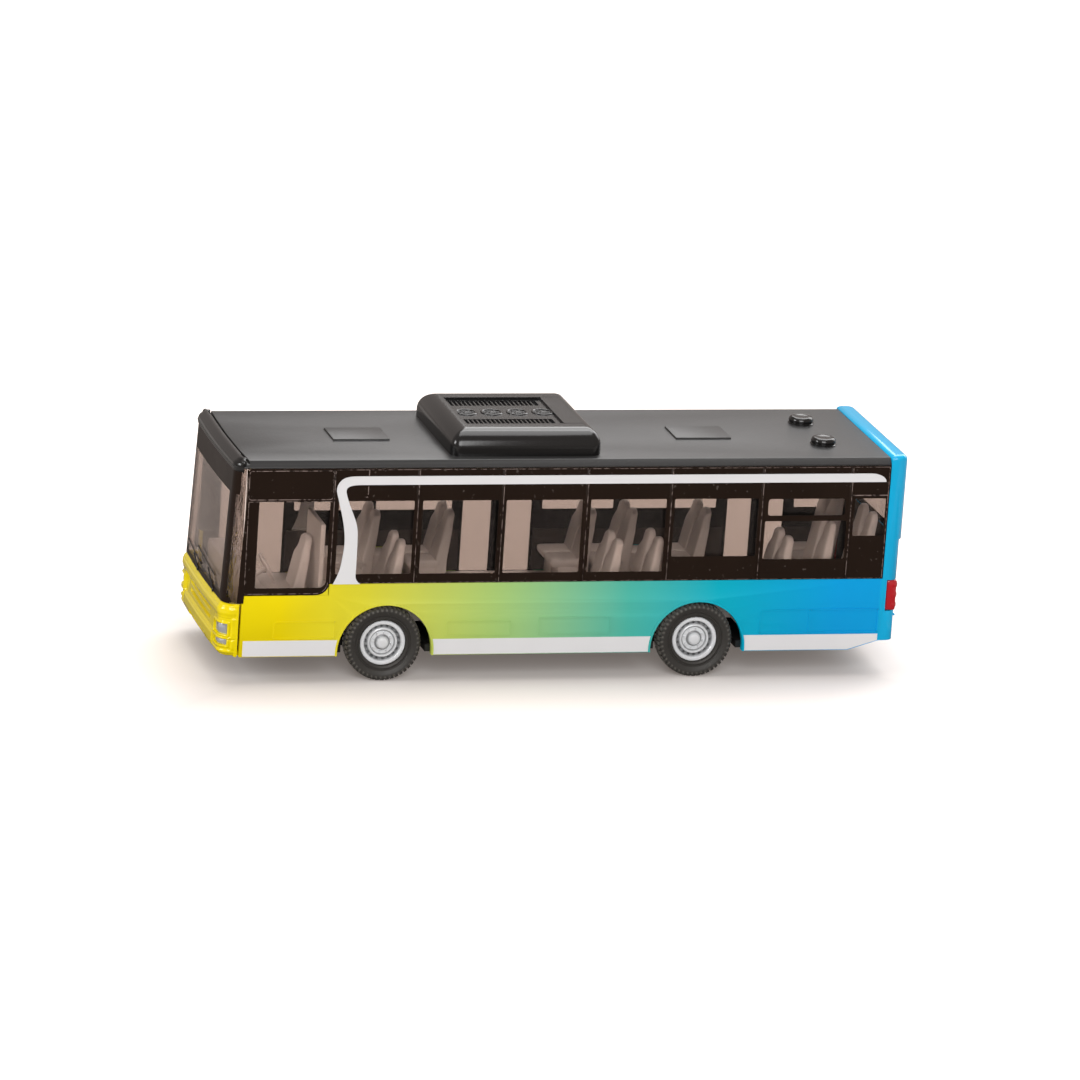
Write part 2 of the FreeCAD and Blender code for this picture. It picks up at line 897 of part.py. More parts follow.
def wiper_row():
    """Two wiper arms lying on the lower part of the windscreen."""
    low = "(nose_height + wiper_rise)"
    shapes = []
    for key, centre in (("left", "wiper_spread / 2"), ("right", "-wiper_spread / 2")):
        zone = box(
            f"wiper_zone_{key}",
            ("0", f"{NOSE_FACE} + 1"),
            (f"{centre} - wiper_length / 2", f"{centre} + wiper_length / 2"),
            (low, f"{low} + wiper_height"),
        )
        shapes.append(
            front_ring(
                f"wiper_{key}",
                "-wiper_depth",
                "0",
                zone,
                "nose_height",
                "glass_top",
                SCREEN_FACE,
                "screen_rake",
            )
        )
    return group("wipers", shapes)


def headlamp(key, side):
    """One headlamp with the narrow lamp below it, each set in its pocket at a front corner."""
    lenses = []
    for lamp, low, high in LAMPS:
        zone = lamp_zone(f"{lamp}_zone_{key}", side, "fit", low, high)
        lenses.append(
            front_ring(
                f"{lamp}_lens_{key}",
                "lens_sink",
                "lamp_depth - fit",
                zone,
                "skirt_height",
                "belt_height",
            )
        )
    return group(f"headlamp_{key}", lenses)


def tail_lamp(key, side):
    """One tail lamp, wrapped round a rear corner."""
    lamp = rear_block(f"tail_lamp_out_{key}", "fit", "0", "belt_height * 2")
    core = rear_block(f"tail_lamp_in_{key}", "lamp_depth - fit", "-1", "belt_height * 2 + 1")
    skin = cut(f"tail_lamp_skin_{key}", lamp, [core])
    return common(f"tail_lamp_{key}", [skin, tail_zone(f"tail_lamp_zone_{key}", side, "fit")])


def wheel_spaces(name, low_y, high_y, low_z, high_z, reach):
    """Boxes round the four wheels, for what has to stay clear of them."""
    spaces = []
    for axle, x in (("front", FRONT_AXLE), ("rear", REAR_AXLE)):
        for side_name, side in (("left", 1), ("right", -1)):
            spaces.append(
                box(
                    f"{name}_{axle}_{side_name}",
                    (f"{x} - ({reach})", f"{x} + ({reach})"),
                    side_y(side, low_y, high_y),
                    (low_z, high_z),
                )
            )
    return spaces


def rivet_places():
    """The X of the two rivets that hold the chassis plate."""
    return (
        ("front", f"({FRONT_AXLE} + rivet_ahead)"),
        ("rear", f"({REAR_AXLE} - rivet_behind)"),
    )


def chassis_parts():
    """The plate, its raised tail, the axle bearings and the posts for the floor, as solids."""
    plate = block(
        "chassis_block",
        "wall + fit",
        "plate_bottom",
        PLATE_TOP,
        f"({REAR_LINE} + rear_slant)",
    )
    half = f"({HALF} - wall - fit)"
    riser = box(
        "chassis_riser",
        (f"{REAR_LINE} + rear_slant", f"{REAR_LINE} + rear_slant + plate_thickness"),
        (f"-{half}", half),
        ("plate_bottom", "rear_bottom + tail_rise + plate_thickness"),
    )
    tail = box(
        "chassis_tail",
        (f"{REAR_LINE} + fit", f"{REAR_LINE} + rear_slant + plate_thickness"),
        (f"-{half}", half),
        ("rear_bottom + tail_rise", "rear_bottom + tail_rise + plate_thickness"),
    )
    parts = [plate, riser, tail]
    for axle, x in (("front", FRONT_AXLE), ("rear", REAR_AXLE)):
        for side_name, side in (("left", 1), ("right", -1)):
            parts.append(
                box(
                    f"bearing_{axle}_{side_name}",
                    (f"{x} - bearing_length / 2", f"{x} + bearing_length / 2"),
                    side_y(side, BEARING_INNER, f"{WHEEL_INNER} - bearing_gap"),
                    ("plate_bottom", "bearing_top"),
                )
            )
    for key, x in rivet_places():
        parts.append(
            rod(
                f"post_{key}",
                "post_diameter / 2",
                (x, "0", "plate_bottom"),
                f"{FLOOR_UNDER} - plate_bottom",
            )
        )
    return parts


def chassis_plate():
    """The black underside, open at the wheels and under the axles."""
    away = wheel_spaces(
        "chassis_wheel", WHEEL_INNER, HALF, "plate_bottom - 1", f"{PLATE_TOP} + 1", WHEEL_REACH
    )
    for axle, x in (("front", FRONT_AXLE), ("rear", REAR_AXLE)):
        away.append(
            rod(
                f"bore_{axle}",
                "axle_diameter / 2 + running_gap",
                (x, f"-{HALF}", AXLE_HEIGHT),
                "body_width",
                "y",
            )
        )
        away.append(
            box(
                f"trough_{axle}",
                (f"{x} - trough_length / 2", f"{x} + trough_length / 2"),
                (f"-{BEARING_INNER}", BEARING_INNER),
                ("plate_bottom - 1", f"{PLATE_TOP} + 1"),
            )
        )
    for key, x in rivet_places():
        away.append(
            rod(
                f"rivet_hole_{key}",
                "rivet_diameter / 2 + fit",
                (x, "0", "plate_bottom - 1"),
                f"{FLOOR_UNDER} - plate_bottom + 2",
            )
        )
        away.append(
            rod(
                f"rivet_sink_{key}",
                "rivet_head_diameter / 2 + fit",
                (x, "0", "plate_bottom - 1"),
                "rivet_head + fit + 1",
            )
        )
    return cut("chassis_plate", fuse("chassis_whole", chassis_parts()), away)


def rivets():
    """The two rivets seen from below, with heads sunk flush in the plate."""
    shapes = []
    for key, x in rivet_places():
        shank = rod(
            f"rivet_shank_{key}",
            "rivet_diameter / 2",
            (x, "0", "plate_bottom"),
            f"{FLOOR_UNDER} - plate_bottom",
        )
        head = rod(
            f"rivet_head_{key}",
            "rivet_head_diameter / 2",
            (x, "0", "plate_bottom"),
            "rivet_head",
        )
        shapes.append(fuse(f"rivet_{key}", [shank, head]))
    return group("rivets", shapes)


def hoods(name, low, slack="0"):
    """The outsides of the boxes that cover the four wheels."""
    return wheel_spaces(
        name,
        f"{WHEEL_INNER} - box_wall - {slack}",
        INSIDE,
        low,
        f"tyre_diameter + wheel_gap + box_wall + {slack}",
        f"{WHEEL_REACH} + box_wall + {slack}",
    )


def wheel_boxes():
    """The boxes over the four wheels, open below, standing in the floor's notches."""
    shapes = []
    inside = wheel_spaces(
        "box_space", WHEEL_INNER, HALF, "0", "tyre_diameter + wheel_gap", WHEEL_REACH
    )
    for number, (outer, inner) in enumerate(zip(hoods("wheel_box", FLOOR_UNDER), inside)):
        shapes.append(cut(f"wheel_box_{number}", outer, [inner]))
    return group("wheel_boxes", shapes)


def cabin_floor():
    """The flat tray on the chassis posts, notched for the wheel boxes."""
    tray = box(
        "tray",
        (f"{REAR_LINE} + fit", f"{EDGE} - wall"),
        (f"-{INSIDE}", INSIDE),
        (FLOOR_UNDER, "floor_top"),
    )
    notches = wheel_spaces(
        "floor_notch",
        f"{WHEEL_INNER} - box_wall - fit",
        HALF,
        "0",
        "floor_top + 1",
        f"{WHEEL_REACH} + box_wall + fit",
    )
    return cut("cabin_floor", tray, notches)


def seat_profile(body, name, x, height):
    """The side outline of a high-backed seat whose back stands at x."""
    low = "floor_top"
    lean = f"({height} * tan(back_lean))"
    top = f"(floor_top + {height})"
    knee = "(floor_top + seat_height)"
    return outline(
        body,
        name,
        "XZ_Plane",
        [
            (f"{x} - back_thickness", low),
            (f"{x} + seat_length - seat_tuck", low),
            (f"{x} + seat_length", f"{knee} - seat_tuck"),
            (f"{x} + seat_length", knee),
            (x, f"{knee} - seat_dip"),
            (f"{x} - {lean}", top),
            (f"{x} - {lean} - back_top", top),
            (f"{x} - back_thickness", knee),
        ],
    )


def seat(name, x, low_y, width, height):
    """One high-backed seat standing on the floor."""
    body = doc.addObject("PartDesign::Body", name)
    profile = seat_profile(body, name + "_profile", x, height)
    pad = body.newObject("PartDesign::Pad", name + "_pad")
    pad.Profile = profile
    pad.Reversed = True
    bind(pad, "Length", width)
    bind(body, "Placement.Base.y", low_y)
    doc.recompute()
    return body


def seat_row(key, side, places):
    """All double seats of one side, each back parted at its top into two headrests."""
    low_y = "aisle / 2" if side > 0 else f"-aisle / 2 - {SEAT_WIDTH}"
    middle = f"({low_y} + {SEAT_WIDTH} / 2)"
    seats = []
    away = hoods(f"seat_{key}_hood", "0", "fit")
    for number, (distance, height) in enumerate(places):
        x = along(distance)
        seats.append(seat(f"seat_{key}_{number}", x, low_y, SEAT_WIDTH, str(height)))
        away.append(
            box(
                f"headrest_gap_{key}_{number}",
                (f"{x} - {height} * tan(back_lean) - back_thickness", x),
                (f"{middle} - headrest_gap / 2", f"{middle} + headrest_gap / 2"),
                (f"floor_top + {height} - headrest_drop", f"floor_top + {height} + 1"),
            )
        )
    return cut(f"seats_{key}", group(f"seats_{key}_whole", seats), away)


def driver_seat():
    """The driver's seat."""
    return seat(
        "driver_seat",
        back("driver_seat_back"),
        f"{SEAT_SIDE} - driver_inset - driver_seat_width",
        "driver_seat_width",
        "driver_seat_height",
    )


def driver_partition():
    """The screen behind the driver."""
    outer = f"({GLASS_OUT} - pane_thickness - 2 * fit)"
    return box(
        "driver_partition",
        (back("partition_back + partition_thickness"), back("partition_back")),
        ("aisle / 2 + partition_gap", outer),
        ("floor_top", "partition_height"),
    )


def dashboard(name="dashboard"):
    """The dashboard behind the windscreen."""
    half = f"({GLASS_OUT} - pane_thickness - 4 * fit)"
    return box(
        name,
        (f"{EDGE} - dash_depth", f"{EDGE} - wall"),
        (f"-{half}", half),
        ("floor_top", "dash_height"),
    )


def steering_wheel():
    """The steering wheel on its column, leaning to the driver."""
    ring = doc.addObject("Part::Torus", "steering_ring")
    bind(ring, "Radius1", "steering_diameter / 2")
    bind(ring, "Radius2", "steering_rim / 2")
    column = doc.addObject("Part::Cylinder", "steering_column")
    bind(column, "Radius", "steering_rim")
    bind(column, "Height", "dash_depth")
    spoke = doc.addObject("Part::Box", "steering_spoke")
    bind(spoke, "Length", "steering_rim")
    bind(spoke, "Width", "steering_diameter")
    bind(spoke, "Height", "steering_rim")
    place(spoke, "-steering_rim / 2", "-steering_diameter / 2", "-steering_rim / 2")
    place(column, "0", "0", "-dash_depth")
    wheel = fuse("steering_whole", [ring, column, spoke])
    wheel.Placement.Rotation = FreeCAD.Rotation(FreeCAD.Vector(0, -1, 0), 1)
    bind(wheel, "Placement.Rotation.Angle", "steering_lean")
    place(
        wheel,
        f"{EDGE} - dash_depth - steering_back",
        f"{SEAT_SIDE} - driver_inset - driver_seat_width / 2",
        "floor_top + seat_height + steering_up",
    )
    return cut("steering_wheel", wheel, [dashboard("steering_dash")])


def spun(name, points, x, outward):
    """A solid of revolution about an axle, from (distance inward, radius) points."""
    body = doc.addObject("PartDesign::Body", name)
    sketch = outline(body, name + "_section", "XY_Plane", points)
    turn = body.newObject("PartDesign::Revolution", name + "_turn")
    turn.Profile = sketch
    turn.ReferenceAxis = (sketch, ["V_Axis"])
    turn.Angle = 360
    doc.recompute()
    if outward < 0:
        body.Placement.Rotation = FreeCAD.Rotation(FreeCAD.Vector(1, 0, 0), 180)
    sign = "" if outward > 0 else "-"
    return place(body, x, f"{sign}{TYRE_FACE}", AXLE_HEIGHT)


def tyre(name, x, outward):
    """A tyre with bevelled shoulders. Radius runs along X and width along Y."""
    bore = "(rim_diameter / 2 + press_gap)"
    tread = "(tyre_diameter / 2)"
    points = [
        (bore, "-tyre_width + tyre_shoulder"),
        (f"{bore} + tyre_shoulder", "-tyre_width"),
        (f"{tread} - tyre_shoulder", "-tyre_width"),
        (tread, "-tyre_width + tyre_shoulder * 2"),
        (tread, "-tyre_shoulder * 2"),
        (f"{tread} - tyre_shoulder", "0"),
        (f"{bore} + tyre_shoulder * 2", "0"),
        (bore, "-tyre_shoulder"),
    ]
    return spun(name, points, x, outward)


def hub(name, x, outward):
    """A wheel rim with a raised outer ring, a dished web, an inner ring and a flat centre."""
    bore = "(axle_diameter / 2 + press_gap)"
    rim = "(rim_diameter / 2)"
    inner = "(inner_ring / 2)"
    face = "-rim_recess"
    points = [
        (bore, f"{face} - rim_depth"),
        (rim, f"{face} - rim_depth"),
        (rim, face),
        (f"{rim} - rim_band", face),
        (f"{rim} - rim_band - rim_slope", f"{face} - web_depth"),
        (f"{inner} + rim_slope", f"{face} - web_depth"),
        (inner, f"{face} - rim_slope"),
        (f"{inner} - inner_band", f"{face} - rim_slope"),
        (f"{inner} - inner_band - rim_slope", f"{face} - centre_depth"),
        (bore, f"{face} - centre_depth"),
    ]
    return spun(name, points, x, outward)


def axle(name, x):
    """A plain steel pin through both hubs."""
    reach = f"({TYRE_FACE} - rim_recess - axle_sink)"
    return rod(name, "axle_diameter / 2", (x, f"-{reach}", AXLE_HEIGHT), f"2 * {reach}", "y")


def build():
    """Every sub-part, in the order it goes together."""
    parts = [
        body_casting(),
        nose(),
        windscreen(),
        side_glazing("left", 1),
        side_glazing("right", -1),
        window_print("left", 1),
        window_print("right", -1),
        rear_window(),
        roof_panel(),
        roof_unit(),
        roof_fans(),
        roof_vents(),
        wiper_row(),
        headlamp("left", 1),
        headlamp("right", -1),
        tail_lamp("left", 1),
        tail_lamp("right", -1),
        dashboard(),
        steering_wheel(),
        driver_seat(),
        driver_partition(),
        cabin_floor(),
        wheel_boxes(),
        seat_row("left", 1, SEATS_LEFT),
        seat_row("right", -1, SEATS_RIGHT),
        chassis_plate(),
        rivets(),
    ]
    for end, x in (("front", FRONT_AXLE), ("rear", REAR_AXLE)):
        parts.append(axle(f"{end}_axle", x))
        for side_name, outward in (("left", 1), ("right", -1)):
            parts.append(hub(f"{end}_hub_{side_name}", x, outward))
            parts.append(tyre(f"{end}_tyre_{side_name}", x, outward))
    return parts


def check(parts):
    """Stop if any object failed or any sub-part has no sound solid."""
    for obj in doc.Objects:
        if any(word in obj.State for word in ("Invalid", "Error")):
            raise RuntimeError(f"{obj.Name} failed: {obj.State}")
    for part in parts:
        shape = part.Shape
        if shape.isNull() or not shape.isValid() or not shape.Solids:
            raise RuntimeError(f"{part.Label} has no sound solid")
        print(f"{part.Label}: {len(shape.Solids)} solids, {shape.Volume:.2f} mm3")


fill_sheet()
sub_parts = build()
doc.recompute()
check(sub_parts)
os.makedirs("parts", exist_ok=True)
for sub_part in sub_parts:
    sub_part.Shape.exportStep(f"parts/{sub_part.Label}.step")
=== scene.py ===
"""Looks of a small die-cast toy city bus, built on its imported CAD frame."""
import logging
import math
from collections.abc import Callable
from dataclasses import dataclass
from enum import Enum

import bmesh
import bpy
from mathutils import Matrix, Vector


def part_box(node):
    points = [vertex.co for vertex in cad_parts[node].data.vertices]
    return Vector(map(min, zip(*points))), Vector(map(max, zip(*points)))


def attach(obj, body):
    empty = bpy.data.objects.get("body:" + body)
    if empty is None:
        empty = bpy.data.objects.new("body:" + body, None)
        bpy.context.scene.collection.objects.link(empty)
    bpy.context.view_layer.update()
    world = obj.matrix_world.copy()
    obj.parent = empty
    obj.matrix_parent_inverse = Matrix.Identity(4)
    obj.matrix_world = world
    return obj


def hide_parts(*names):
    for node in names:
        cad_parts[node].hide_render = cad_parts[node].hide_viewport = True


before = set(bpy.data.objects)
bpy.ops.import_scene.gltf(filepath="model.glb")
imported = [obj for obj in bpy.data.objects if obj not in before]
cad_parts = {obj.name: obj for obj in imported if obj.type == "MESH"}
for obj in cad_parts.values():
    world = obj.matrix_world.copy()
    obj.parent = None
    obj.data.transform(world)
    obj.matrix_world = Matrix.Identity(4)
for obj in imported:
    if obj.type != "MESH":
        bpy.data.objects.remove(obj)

MM = 0.001
SOCKET = bpy.types.NodeSocket
LOG = logging.getLogger("toy_bus")
Pair = tuple[float, float]
Pairs = tuple[Pair, ...]
Triple = tuple[float, float, float]
Pane = tuple[float, float, float, float]
Rule = Callable[..., Vector]


def linear(code: str) -> Pane:
    """Turn a colour's six hex digits into the opaque linear values that the shaders take."""
    parts = [int(code[i:i + 2], 16) / 255 for i in (0, 2, 4)]
    red, green, blue = [p / 12.92 if p <= 0.04045 else ((p + 0.055) / 1.055) ** 2.4 for p in parts]
    return red, green, blue, 1.0


class Side(Enum):
    """The bus's two sides."""

    LEFT = 1
    RIGHT = -1

    @property
    def key(self) -> str:
        """Give the side's name as nodes have it."""
        return self.name.lower()


class End(Enum):
    """The two ends that carry an axle."""

    FRONT = "front"
    REAR = "rear"


class Desk:
    """A node tree with short ways to add and join nodes."""

    def __init__(self, tree: bpy.types.NodeTree) -> None:
        """Keep the tree."""
        self.tree = tree

    def add(self, kind: str, **settings: object) -> bpy.types.Node:
        """Add a node.

        Args:
            kind: The node's type, without its ShaderNode prefix.
            **settings: Values of the node itself, such as its operation.

        Returns:
            The new node.
        """
        node = self.tree.nodes.new("ShaderNode" + kind)
        for name, value in settings.items():
            setattr(node, name, value)
        return node

    def put(self, socket: SOCKET, value: object) -> None:
        """Give an input a plain value, or link it to another node's output.

        Args:
            socket: The input.
            value: A value or an output socket.
        """
        if isinstance(value, bpy.types.NodeSocket):
            self.tree.links.new(value, socket)
        else:
            socket.default_value = value

    def maths(self, operation: str, *values: object) -> SOCKET:
        """Add a Math node.

        Args:
            operation: Its operation.
            *values: Its inputs in order.

        Returns:
            Its output.
        """
        node = self.add("Math", operation=operation)
        for socket, value in zip(node.inputs, values):
            self.put(socket, value)
        return node.outputs[0]

    def times(self, first: object, second: object) -> SOCKET:
        """Multiply two values."""
        return self.maths("MULTIPLY", first, second)

    def blend(self, factor: object, first: object, second: object, kind: str = "MIX") -> SOCKET:
        """Mix two colours.

        Args:
            factor: How much of the second one.
            first: A colour.
            second: A colour.
            kind: The way of mixing.

        Returns:
            The mixed colour.
        """
        node = self.add("Mix", data_type="RGBA", blend_type=kind)
        for index, value in ((0, factor), (6, first), (7, second)):
            self.put(node.inputs[index], value)
        return node.outputs[2]

    def spot(self) -> bpy.types.NodeOutputs:
        """Give the three coordinates of the piece's own place, in metres."""
        node = self.add("SeparateXYZ")
        self.put(node.inputs[0], self.add("TexCoord").outputs["Object"])
        return node.outputs

    def noise(self, scale: object, detail: float, stretch: Triple = (1, 1, 1)) -> SOCKET:
        """Add noise that reads the piece's own place in metres.

        Args:
            scale: Size of the pattern, in waves per metre, as a value or a socket.
            detail: Octaves.
            stretch: Factors along the three axes.

        Returns:
            The noise's value.
        """
        place = self.add("TexCoord").outputs["Object"]
        if stretch != (1, 1, 1):
            mapping = self.add("Mapping")
            mapping.inputs["Scale"].default_value = stretch
            self.put(mapping.inputs["Vector"], place)
            place = mapping.outputs[0]
        node = self.add("TexNoise")
        for label, value in (("Vector", place), ("Scale", scale), ("Detail", detail)):
            self.put(node.inputs[label], value)
        return node.outputs[0]

    def span(self, value: SOCKET, low: object, high: object, to_low: float = 0.0, to_high: float = 1.0) -> SOCKET:
        """Map a value's range to another one, with its ends held.

        Args:
            value: The value.
            low: Start of its range.
            high: End of its range.
            to_low: Start of the new range.
            to_high: End of the new range.

        Returns:
            The mapped value.
        """
        node = self.add("MapRange")
        for socket, number in zip(node.inputs, (value, low, high, to_low, to_high)):
            self.put(socket, number)
        return node.outputs[0]

    def bump(self, height: SOCKET, distance: float) -> SOCKET:
        """Turn a height from 0 to 1 into a normal, for a depth in metres."""
        node = self.add("Bump")
        node.inputs["Strength"].default_value = 1.0
        node.inputs["Distance"].default_value = distance
        self.put(node.inputs["Height"], height)
        return node.outputs[0]

    def surface(self, kind: str, first: SOCKET, second: SOCKET, factor: object = None) -> None:
        """Join two shaders and make them the surface.

        Args:
            kind: The joining node's type.
            first: A shader.
            second: A shader.
            factor: How much of the second one, where the joining node takes it.
        """
        node = self.add(kind)
        for socket, value in zip(node.inputs, (first, second) if factor is None else (factor, first, second)):
            self.put(socket, value)
        self.put(self.tree.nodes["Material Output"].inputs["Surface"], node.outputs[0])


@dataclass(frozen=True)
class Lines:
    """The toy's main lines in millimetres, as its CAD parts have them."""

    edge: float = 45.3
    rear_line: float = -46.1
    half: float = 13.5
    belt: float = 14.2
    glass_top: float = 30.6
    axle_front: float = 24.9
    axle_rear: float = -19.7
    axle_z: float = 5.35

    def x(self, along: float) -> float:
        """Give the place that lies so far behind the side's front edge."""
        return self.edge - along

    def axle_of(self, end: End) -> float:
        """Give the place of an axle."""
        return self.axle_front if end is End.FRONT else self.axle_rear

    @staticmethod
    def driver_corner() -> list[Pair]:
        """Draw the rounded lower rear corner of the driver's window, behind the front edge and upwards."""
        return [(12.15 - 1.9 * (1 - math.cos(a)), 12.65 + 1.9 * (1 - math.sin(a)))
                for a in (math.pi / 2 * k / 8 for k in range(9))]


LINES = Lines()


class Effect(Enum):
    """The shader node groups that the finishes share."""

    DRIFT = "surface_drift"
    GRAIN = "fine_grain"
    SPECKS = "dust_specks"
    RUB = "rubbed_through"


class Effects:
    """Builds each shared effect once and places it in materials."""

    def __init__(self) -> None:
        """Build the groups."""
        self.trees = {Effect.DRIFT: self.drift(), Effect.GRAIN: self.grain(),
                      Effect.SPECKS: self.specks(), Effect.RUB: self.rub()}

    @staticmethod
    def group(effect: Effect, takes: dict[str, object],
              gives: dict[str, str]) -> tuple[Desk, bpy.types.NodeOutputs, bpy.types.NodeInputs]:
        """Start a group.

        Args:
            effect: Which one.
            takes: The first value of each input by name, None for a colour.
            gives: The kind of each output by name.

        Returns:
            Its tree, with the sockets that give its inputs and those that take its outputs.
        """
        tree = bpy.data.node_groups.new(effect.value, "ShaderNodeTree")
        for label, value in takes.items():
            kind = "Color" if value is None else "Float"
            socket = tree.interface.new_socket(name=label, in_out="INPUT", socket_type="NodeSocket" + kind)
            if value is not None:
                socket.default_value = value
        for label, kind in gives.items():
            tree.interface.new_socket(name=label, in_out="OUTPUT", socket_type="NodeSocket" + kind)
        start, end = tree.nodes.new("NodeGroupInput"), tree.nodes.new("NodeGroupOutput")
        return Desk(tree), start.outputs, end.inputs

    def drift(self) -> bpy.types.NodeTree:
        """Build the slow change of shade and gloss over a surface."""
        desk, start, end = self.group(
            Effect.DRIFT, {"Colour": None, "Roughness": 0.4, "Amount": 0.1, "Scale": 180},
            {"Colour": "Color", "Roughness": "Float"})
        cloud = desk.span(desk.noise(start["Scale"], 3.0), 0.2, 0.8)
        shade = desk.maths("SUBTRACT", 1.0, desk.times(cloud, start["Amount"]))
        tint = desk.add("CombineColor")
        for socket in tint.inputs[:3]:
            desk.put(socket, shade)
        desk.put(end["Colour"], desk.blend(1.0, start["Colour"], tint.outputs[0], "MULTIPLY"))
        change = desk.maths("ADD", 1.0, desk.times(desk.maths("SUBTRACT", cloud, 0.5), start["Amount"]))
        desk.put(end["Roughness"], desk.times(start["Roughness"], change))
        return desk.tree

    def grain(self) -> bpy.types.NodeTree:
        """Build the fine grain of a moulded or painted skin."""
        desk, start, end = self.group(Effect.GRAIN, {"Scale": 2500}, {"Height": "Float"})
        desk.put(end["Height"], desk.noise(start["Scale"], 2.0))
        return desk.tree

    def specks(self) -> bpy.types.NodeTree:
        """Build sparse pale dust specks."""
        desk, start, end = self.group(Effect.SPECKS, {"Colour": None, "Amount": 0.2, "Scale": 1500},
                                      {"Colour": "Color"})
        speck = desk.times(desk.span(desk.noise(start["Scale"], 1.0), 0.71, 0.78), start["Amount"])
        desk.put(end["Colour"], desk.blend(speck, start["Colour"], linear("B4A9A2")))
        return desk.tree

    def rub(self) -> bpy.types.NodeTree:
        """Build a print that is rubbed through to what lies under it."""
        desk, start, end = self.group(Effect.RUB, {"Colour": None, "Bare": None, "Cover": 0.5, "Scale": 1700},
                                      {"Colour": "Color"})
        soft_edge = desk.maths("ADD", start["Cover"], 0.12)
        worn = desk.span(desk.noise(start["Scale"], 4.0), start["Cover"], soft_edge)
        desk.put(end["Colour"], desk.blend(worn, start["Colour"], start["Bare"]))
        return desk.tree

    def place(self, desk: Desk, effect: Effect, **values: object) -> bpy.types.NodeOutputs:
        """Place an effect in a material.

        Args:
            desk: The material's tree.
            effect: Which effect.
            **values: Its inputs by name.

        Returns:
            The sockets that give its outputs.
        """
        node = desk.add("Group")
        node.node_tree = self.trees[effect]
        for label, value in values.items():
            desk.put(node.inputs[label], value)
        return node.outputs


@dataclass(frozen=True)
class Finish:
    """A surface finish: one colour with drift, grain and the gloss of its kind."""

    name: str
    colour: str
    roughness: float = 0.4
    metallic: float = 0.0
    coat: float = 0.0
    specular: float = 0.5
    drift: float = 0.08
    drift_scale: float = 180.0
    grain_scale: float = 2500.0
    grain_depth: float = 0.00001
    dust: float = 0.0
    coat_roughness: float = 0.06

    def colour_of(self, desk: Desk, effects: Effects) -> object:
        """Give the base colour before drift, as a value or a socket."""
        return linear(self.colour)

    def gloss_of(self, desk: Desk) -> object:
        """Give the roughness before drift, as a value or a socket."""
        return self.roughness

    def build(self, effects: Effects) -> bpy.types.Material:
        """Make the material with the shared effects.

        Args:
            effects: The shared effects.

        Returns:
            The material.
        """
        material = bpy.data.materials.new(self.name)
        material.use_nodes = True
        desk = Desk(material.node_tree)
        shader = material.node_tree.nodes["Principled BSDF"]
        cloud = effects.place(desk, Effect.DRIFT, Colour=self.colour_of(desk, effects), Roughness=self.gloss_of(desk),
                              Amount=self.drift, Scale=self.drift_scale)
        colour = cloud["Colour"]
        if self.dust:
            colour = effects.place(desk, Effect.SPECKS, Colour=colour, Amount=self.dust)["Colour"]
        grain = effects.place(desk, Effect.GRAIN, Scale=self.grain_scale)["Height"]
        for label, value in (
                ("Base Color", colour), ("Roughness", cloud["Roughness"]), ("Metallic", self.metallic),
                ("Coat Weight", self.coat), ("Specular IOR Level", self.specular),
                ("Coat Roughness", self.coat_roughness), ("Normal", desk.bump(grain, self.grain_depth))):
            desk.put(shader.inputs[label], value)
        self.more(desk, shader)
        return material

    def more(self, desk: Desk, shader: bpy.types.Node) -> None:
        """Add what one kind of finish has beyond the others."""


@dataclass(frozen=True)
class BodyPaint(Finish):
    """The paint of the casting, which runs from yellow at the front to blue at the rear."""

    run: tuple[tuple[float, str], ...] = (
        (0.06, "EBD600"), (0.19, "D6D036"), (0.39, "A5C873"), (0.6, "4BB4A4"), (0.74, "00AAC0"), (0.93, "009CDC"),
        (0.997, "009CDC"))
    rear_colour: str = "06AADB"
    bare_from: Pair = (0.0458, 0.0466)
    bare_roughness: float = 0.14
    bare_coat: float = 0.7

    def colour_of(self, desk: Desk, effects: Effects) -> SOCKET:
        """Give the run of colours along the bus."""
        ramp = desk.add("ValToRGB")
        desk.put(ramp.inputs[0], desk.span(desk.spot()[0], LINES.edge * MM, LINES.rear_line * MM))
        stops = ramp.color_ramp.elements
        stops[0].color = linear(self.run[0][1])
        stops[-1].color = linear(self.rear_colour)
        for place, code in self.run:
            stops.new(place).color = linear(code)
        return ramp.outputs[0]

    def ends(self, desk: Desk, middle: float, end: float) -> SOCKET:
        """Give a value that changes past the flanks' two printed ends."""
        return desk.span(desk.maths("ABSOLUTE", desk.spot()[0]), *self.bare_from, middle, end)

    def gloss_of(self, desk: Desk) -> SOCKET:
        """Give the satin of the printed flanks and the gloss of the bare ends."""
        return self.ends(desk, self.roughness, self.bare_roughness)

    def more(self, desk: Desk, shader: bpy.types.Node) -> None:
        """Add the clear coat of the bare ends."""
        desk.put(shader.inputs["Coat Weight"], self.ends(desk, self.coat, self.bare_coat))


@dataclass(frozen=True)
class RubbedPrint(Finish):
    """A print with spots where it is thin or rubbed through to what lies under it."""

    bare: str = "7A7C80"
    cover: float = 0.62
    rub_scale: float = 1300.0

    def colour_of(self, desk: Desk, effects: Effects) -> SOCKET:
        """Give the print with its rubbed spots."""
        return effects.place(desk, Effect.RUB, Colour=linear(self.colour), Bare=linear(self.bare), Cover=self.cover,
                             Scale=self.rub_scale)["Colour"]


